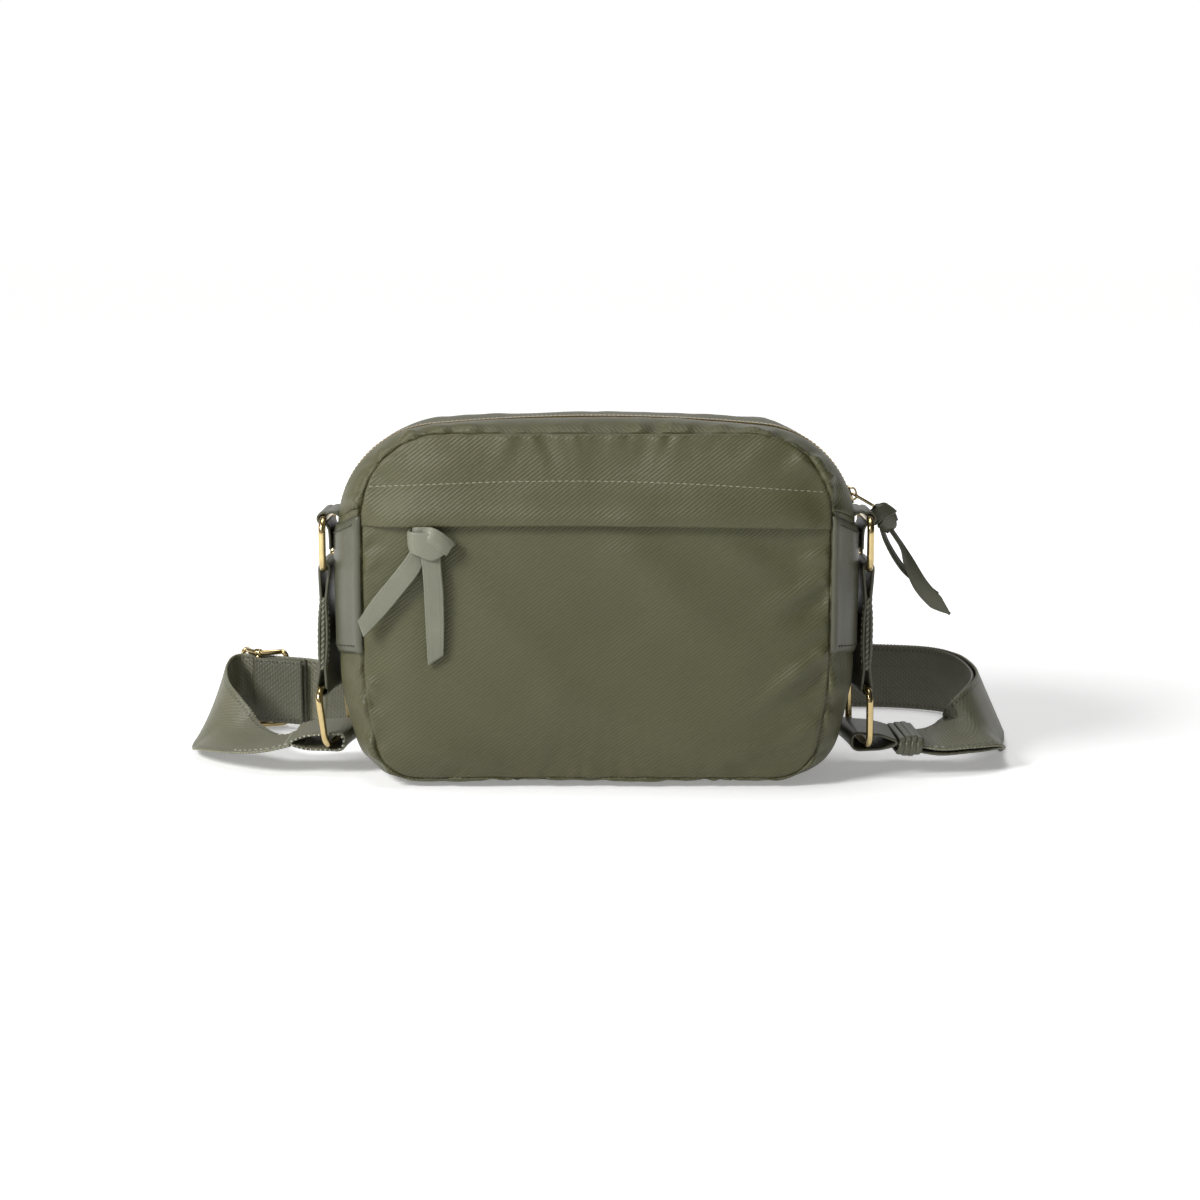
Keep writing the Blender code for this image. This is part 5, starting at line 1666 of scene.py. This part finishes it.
fold_line = np.vstack([END_PATHS["left"], END_PATHS["left"][:1]])
fold_middle = np.stack([-fold_line[:, 0], np.zeros(len(fold_line)), fold_line[:, 1]], 1)
fold_middle, fold_across = twisted(fold_middle, -1, end_angle(fold_line, "left"))
for label, y in (("near", -STRAP_WIDTH / 2), ("far", STRAP_WIDTH / 2)):
    line = resample(fold_middle + fold_across * y, 400)
    flecks("strap_fold_edge_" + label, line, (0, math.copysign(1, y), 0))
for label, across in (("low", -STRAP_WIDTH / 2), ("high", STRAP_WIDTH / 2)):
    line, normal = strap_surface(0.2, 30.9, across, 1, 2400)
    line = line - normal * STRAP_THICKNESS / 2
    out = strap_across(np.linspace(0.2, 30.9, len(line)) * STRAP_STATIONS)
    stitches("strap_edge_yarn_" + label, line, out * np.sign(across), THREAD_LIGHT, "root", 1.9,
             1.5, 0.34, sink=0.28, tilt=math.radians(20))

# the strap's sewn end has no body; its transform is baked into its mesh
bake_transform(SEWN_END)


# ------------------------------------------------------------------ front pocket's pull
def pull_strip(name, left, right, thickness, count, groove, bow=0.0):
    """A strip of the front pull between two edge lines; a crease is pressed beside each edge."""
    left, right = np.array(left, float), np.array(right, float)
    return edge_strip(name, left, right, thickness, PULL_LEATHER, "front_pull", count,
                      groove, bow)


def front_tail(name, left, right, depths, node):
    """A tail of the front pull, from the x and z of its edges and one depth for both."""
    edges = [[(x, depth, z) for (x, z), depth in zip(line, depths)] for line in (left, right)]
    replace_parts(pull_strip(name, *edges, 1.3, 46, 0.32), node)


front_tail("front_tail_left_strip",
           [(-84.5, 117), (-87.6, 111.7), (-94.5, 102.8), (-103.6, 91.7), (-110.6, 81.4)],
           [(-78.5, 112), (-81.6, 104.7), (-88.3, 96), (-97.2, 85.2), (-108, 73.8)],
           [-47.2, -48.4, -47.8, -46.9, -46.5], "front_tail_left")
front_tail("front_tail_right_strip",
           [(-81.4, 115), (-80.2, 107), (-79.6, 95), (-79.2, 80), (-78.4, 60.3)],
           [(-71.5, 114), (-71.2, 106), (-70.5, 95), (-70.4, 80), (-70.9, 65.3)],
           [-48.6, -49.9, -48.9, -47.6, -46.8], "front_tail_right")


knot = pull_strip(
    "front_knot_wrap",
    [(-77, -45.2, 124.6), (-84, -45.4, 125), (-86.4, -47.8, 124), (-83.6, -50.6, 123.6), (-76, -51.3, 123.2),
     (-69.4, -50.6, 122), (-65.6, -48.4, 119.6), (-67.2, -46, 119)],
    [(-77, -45.2, 114.4), (-83.6, -45.4, 113.8), (-85.4, -47.8, 113.6), (-82.8, -50.4, 112.6),
     (-75.6, -51.3, 110.2), (-70.4, -50.8, 112.6), (-66.2, -48.6, 116.6), (-67.4, -46, 116)],
    1.4, 44, 0.3, 0.5)
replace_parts(knot, "front_pull_knot")
pull_strip(
    "front_knot_cross",
    [(-80, -46.6, 125.4), (-75, -50.4, 125.6), (-69.6, -51.2, 122.8), (-65.2, -49.6, 118.4)],
    [(-81.6, -48.4, 119), (-77.4, -52, 118.6), (-72.4, -52.4, 115.4), (-69.2, -51, 112.6)],
    1.3, 44, 0.3, 0.4)
pull_strip(
    "front_knot_loop",
    [(-84.6, -48.6, 119.5), (-84.7, -47.7, 124.6), (-83.9, -45.4, 126.4), (-82.8, -43.6, 125.6),
     (-82.4, -43.2, 121.5)],
    [(-75.9, -48.8, 119.5), (-75.6, -47.9, 124.8), (-75.4, -45.6, 126.6), (-75.6, -43.6, 125.8),
     (-75.8, -43.2, 121.5)],
    1.2, 44, 0.3, 0.3)


# ------------------------------------------------------------------ main zip's pull
def tassel():
    """The knotted leather pull of the main zip, with its two tails."""
    top = np.array([135.0, 0, 128.6])
    down, across = np.array([0.66, 0, -0.75]), np.array([0.75, 0, 0.66])
    height = np.linspace(-1.8, 13.2, 26)
    core = top + np.outer(height, down)
    size = 3.9 * np.sqrt(np.clip(1 - ((height - 5.7) / 7.7) ** 2, 0.02, 1)) ** 0.8
    piece = tube("main_knot_core", core, size, LEATHER, "main_tassel", False, 26)
    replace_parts(piece, "main_pull_knot")
    for name, place, reach, depth, width, tip in (("main_knot_wrap", 3.0, 5.3, 4.3, 6.6, 0.22),
                                                  ("main_knot_cup", 8.6, 4.5, 3.6, 6.0, -0.3)):
        angle = np.linspace(0, 2 * np.pi, 72, endpoint=False)
        c, s = np.cos(angle), np.sin(angle)
        ring = top + down * place
        dip = 0.9 * c * np.sign(tip) + 0.5 * np.cos(2 * angle)
        line = (ring + np.outer(reach * np.sign(c) * np.abs(c) ** 0.8, across)
                + np.outer(depth * s, (0, 1, 0)) + np.outer(dip, down))
        width_direction = down + np.outer(c, across) * tip + np.outer(s, (0, 1, 0)) * tip
        sweep(name, line, width_direction, strip_section(width, 1.25, 12, 3, 0.25), LEATHER,
              "main_tassel", True)
    tails = {
        "main_tail_upper": [
            ((139.4, -1, 121.5), (0.5, 1, 0.3), 4.5), ((143.4, -1.4, 116), (0.3, 1, 0.2), 5),
            ((147.6, -2, 109.6), (0.4, 0.9, 0.2), 5.5), ((151.2, -2.6, 101.5), (0.8, 0.4, 0.3), 6.5),
            ((156.5, -3, 91.6), (0.86, 0.1, 0.45), 7.5), ((163.2, -3.2, 84), (0.75, 0, 0.65), 7.5),
            ((171.0, -3.4, 77.4), (0.66, 0, 0.75), 6.6)],
        "main_tail_lower": [
            ((137.6, 1.6, 119), (0.4, 1, 0.2), 4.5), ((140.0, 2.2, 112.6), (0.35, 1, 0.2), 5.5),
            ((144.6, 2.6, 104.4), (0.35, 1, 0.2), 6.5), ((149.9, 3.2, 97.5), (0.3, 1, 0.3), 6.5),
            ((157, 3.8, 91.9), (0.2, 1, 0.3), 6.5), ((166.2, 4.4, 86.2), (0.2, 1, 0.3), 6)],
    }
    for name, stations in tails.items():
        data = smooth_curve([np.concatenate([c, unit(a), [w]]) for c, a, w in stations], 10)
        steps = np.linalg.norm(np.diff(data[::-1, :3], axis=0), axis=1)
        to_tip = np.append(np.cumsum(steps)[::-1], 0)
        widths = data[:, 6] / 6.5 * np.clip(to_tip / 9, 0.12, 1) ** 0.7
        piece = sweep(name + "_strip", data[:, :3], data[:, 3:6], strip_section(6.5, 1.25, 12, 3, 0.25),
                      LEATHER, "main_tassel", widths=widths)
        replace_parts(piece, name)


tassel()


# ------------------------------------------------------------------ CAD pieces that stay as they are
KEPT = {
    "zip_tape": TAPE,
    "lining": LINING,
    "foam": FOAM,
    "nylon": NYLON_MATERIAL,
    "leather": LEATHER,
    "pull_leather": PULL_LEATHER,
    "webbing": WEBBING,
    "brass": BRASS,
}
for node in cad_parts.values():
    for index, material in enumerate(node.data.materials):
        if material and material.name in KEPT:
            node.data.materials[index] = KEPT[material.name]


# ------------------------------------------------------------------ floor and light
def map_range(tree, value, from_min, from_max, to_min, to_max):
    """The output of a node that maps a value from one range to another."""
    node = tree.nodes.new("ShaderNodeMapRange")
    limits = {"From Min": from_min, "From Max": from_max, "To Min": to_min, "To Max": to_max}
    for name, limit in limits.items():
        node.inputs[name].default_value = limit
    tree.links.new(value, node.inputs["Value"])
    return node.outputs[0]


def make_stage():
    """A pale floor that glows a little more away from the bag."""
    mesh = bpy.data.meshes.new("floor")
    far = 40.0
    mesh.from_pydata([(-far, -far, 0), (far, -far, 0), (far, far, 0), (-far, far, 0)], [], [(0, 1, 2, 3)])
    floor = bpy.data.objects.new("floor", mesh)
    bpy.context.scene.collection.objects.link(floor)
    material = bpy.data.materials.new("floor_white")
    material.use_nodes = True
    shader = material.node_tree.nodes["Principled BSDF"]
    shader.inputs["Base Color"].default_value = (0.93, 0.93, 0.93, 1)
    shader.inputs["Roughness"].default_value = 0.9
    shader.inputs["Specular IOR Level"].default_value = 0.1
    shader.inputs["Emission Color"].default_value = (1, 1, 1, 1)
    tree = material.node_tree
    place = tree.nodes.new("ShaderNodeTexCoord")
    reach = tree.nodes.new("ShaderNodeVectorMath")
    reach.operation = "LENGTH"
    tree.links.new(place.outputs["Object"], reach.inputs[0])
    glow = map_range(tree, reach.outputs["Value"], 0.3, 0.85, 0.26, 0.85)
    tree.links.new(glow, shader.inputs["Emission Strength"])
    mesh.materials.append(material)


def area_light(name, place, target, width, height, power):
    """A rectangular light at a place, turned towards its target."""
    data = bpy.data.lights.new(name, "AREA")
    data.shape = "RECTANGLE"
    data.size = width
    data.size_y = height
    data.energy = power
    light = bpy.data.objects.new(name, data)
    bpy.context.scene.collection.objects.link(light)
    light.location = place
    light.rotation_mode = "QUATERNION"
    light.rotation_quaternion = (Vector(target) - Vector(place)).to_track_quat("-Z", "Y")


def make_world():
    """White behind the bag, brighter to the left in front, darker to the right."""
    world = bpy.data.worlds.new("studio")
    bpy.context.scene.world = world
    world.use_nodes = True
    tree = world.node_tree
    place = tree.nodes.new("ShaderNodeTexCoord")
    split = tree.nodes.new("ShaderNodeSeparateXYZ")
    tree.links.new(place.outputs["Generated"], split.inputs[0])
    front = map_range(tree, split.outputs["Y"], 0.93, 0.72, 0.0, 1.0)
    sideways = map_range(tree, split.outputs["X"], -1.0, 0.9, 0.17, 0.03)
    mix = tree.nodes.new("ShaderNodeMix")
    mix.inputs["A"].default_value = 1.02
    tree.links.new(front, mix.inputs["Factor"])
    tree.links.new(sideways, mix.inputs["B"])
    tree.links.new(mix.outputs["Result"], tree.nodes["Background"].inputs["Strength"])
    tree.nodes["Background"].inputs["Color"].default_value = (1, 0.995, 0.985, 1)


make_stage()
make_world()
area_light("key", (-0.92, -0.76, 0.82), (-0.02, 0, 0.08), 0.42, 0.42, 19)
area_light("front_fill", (-0.4, -2.2, 0.9), (0, 0, 0.08), 1.6, 0.8, 2.2)
area_light("top", (-0.1, 0.15, 1.9), (0, 0, 0.1), 1.2, 0.9, 16)
area_light("rim_left", (-1.5, 0.5, 0.7), (0, 0, 0.1), 0.7, 0.9, 0.45)
bpy.context.scene.view_settings.view_transform = "Standard"
bpy.context.scene.view_settings.look = "None"
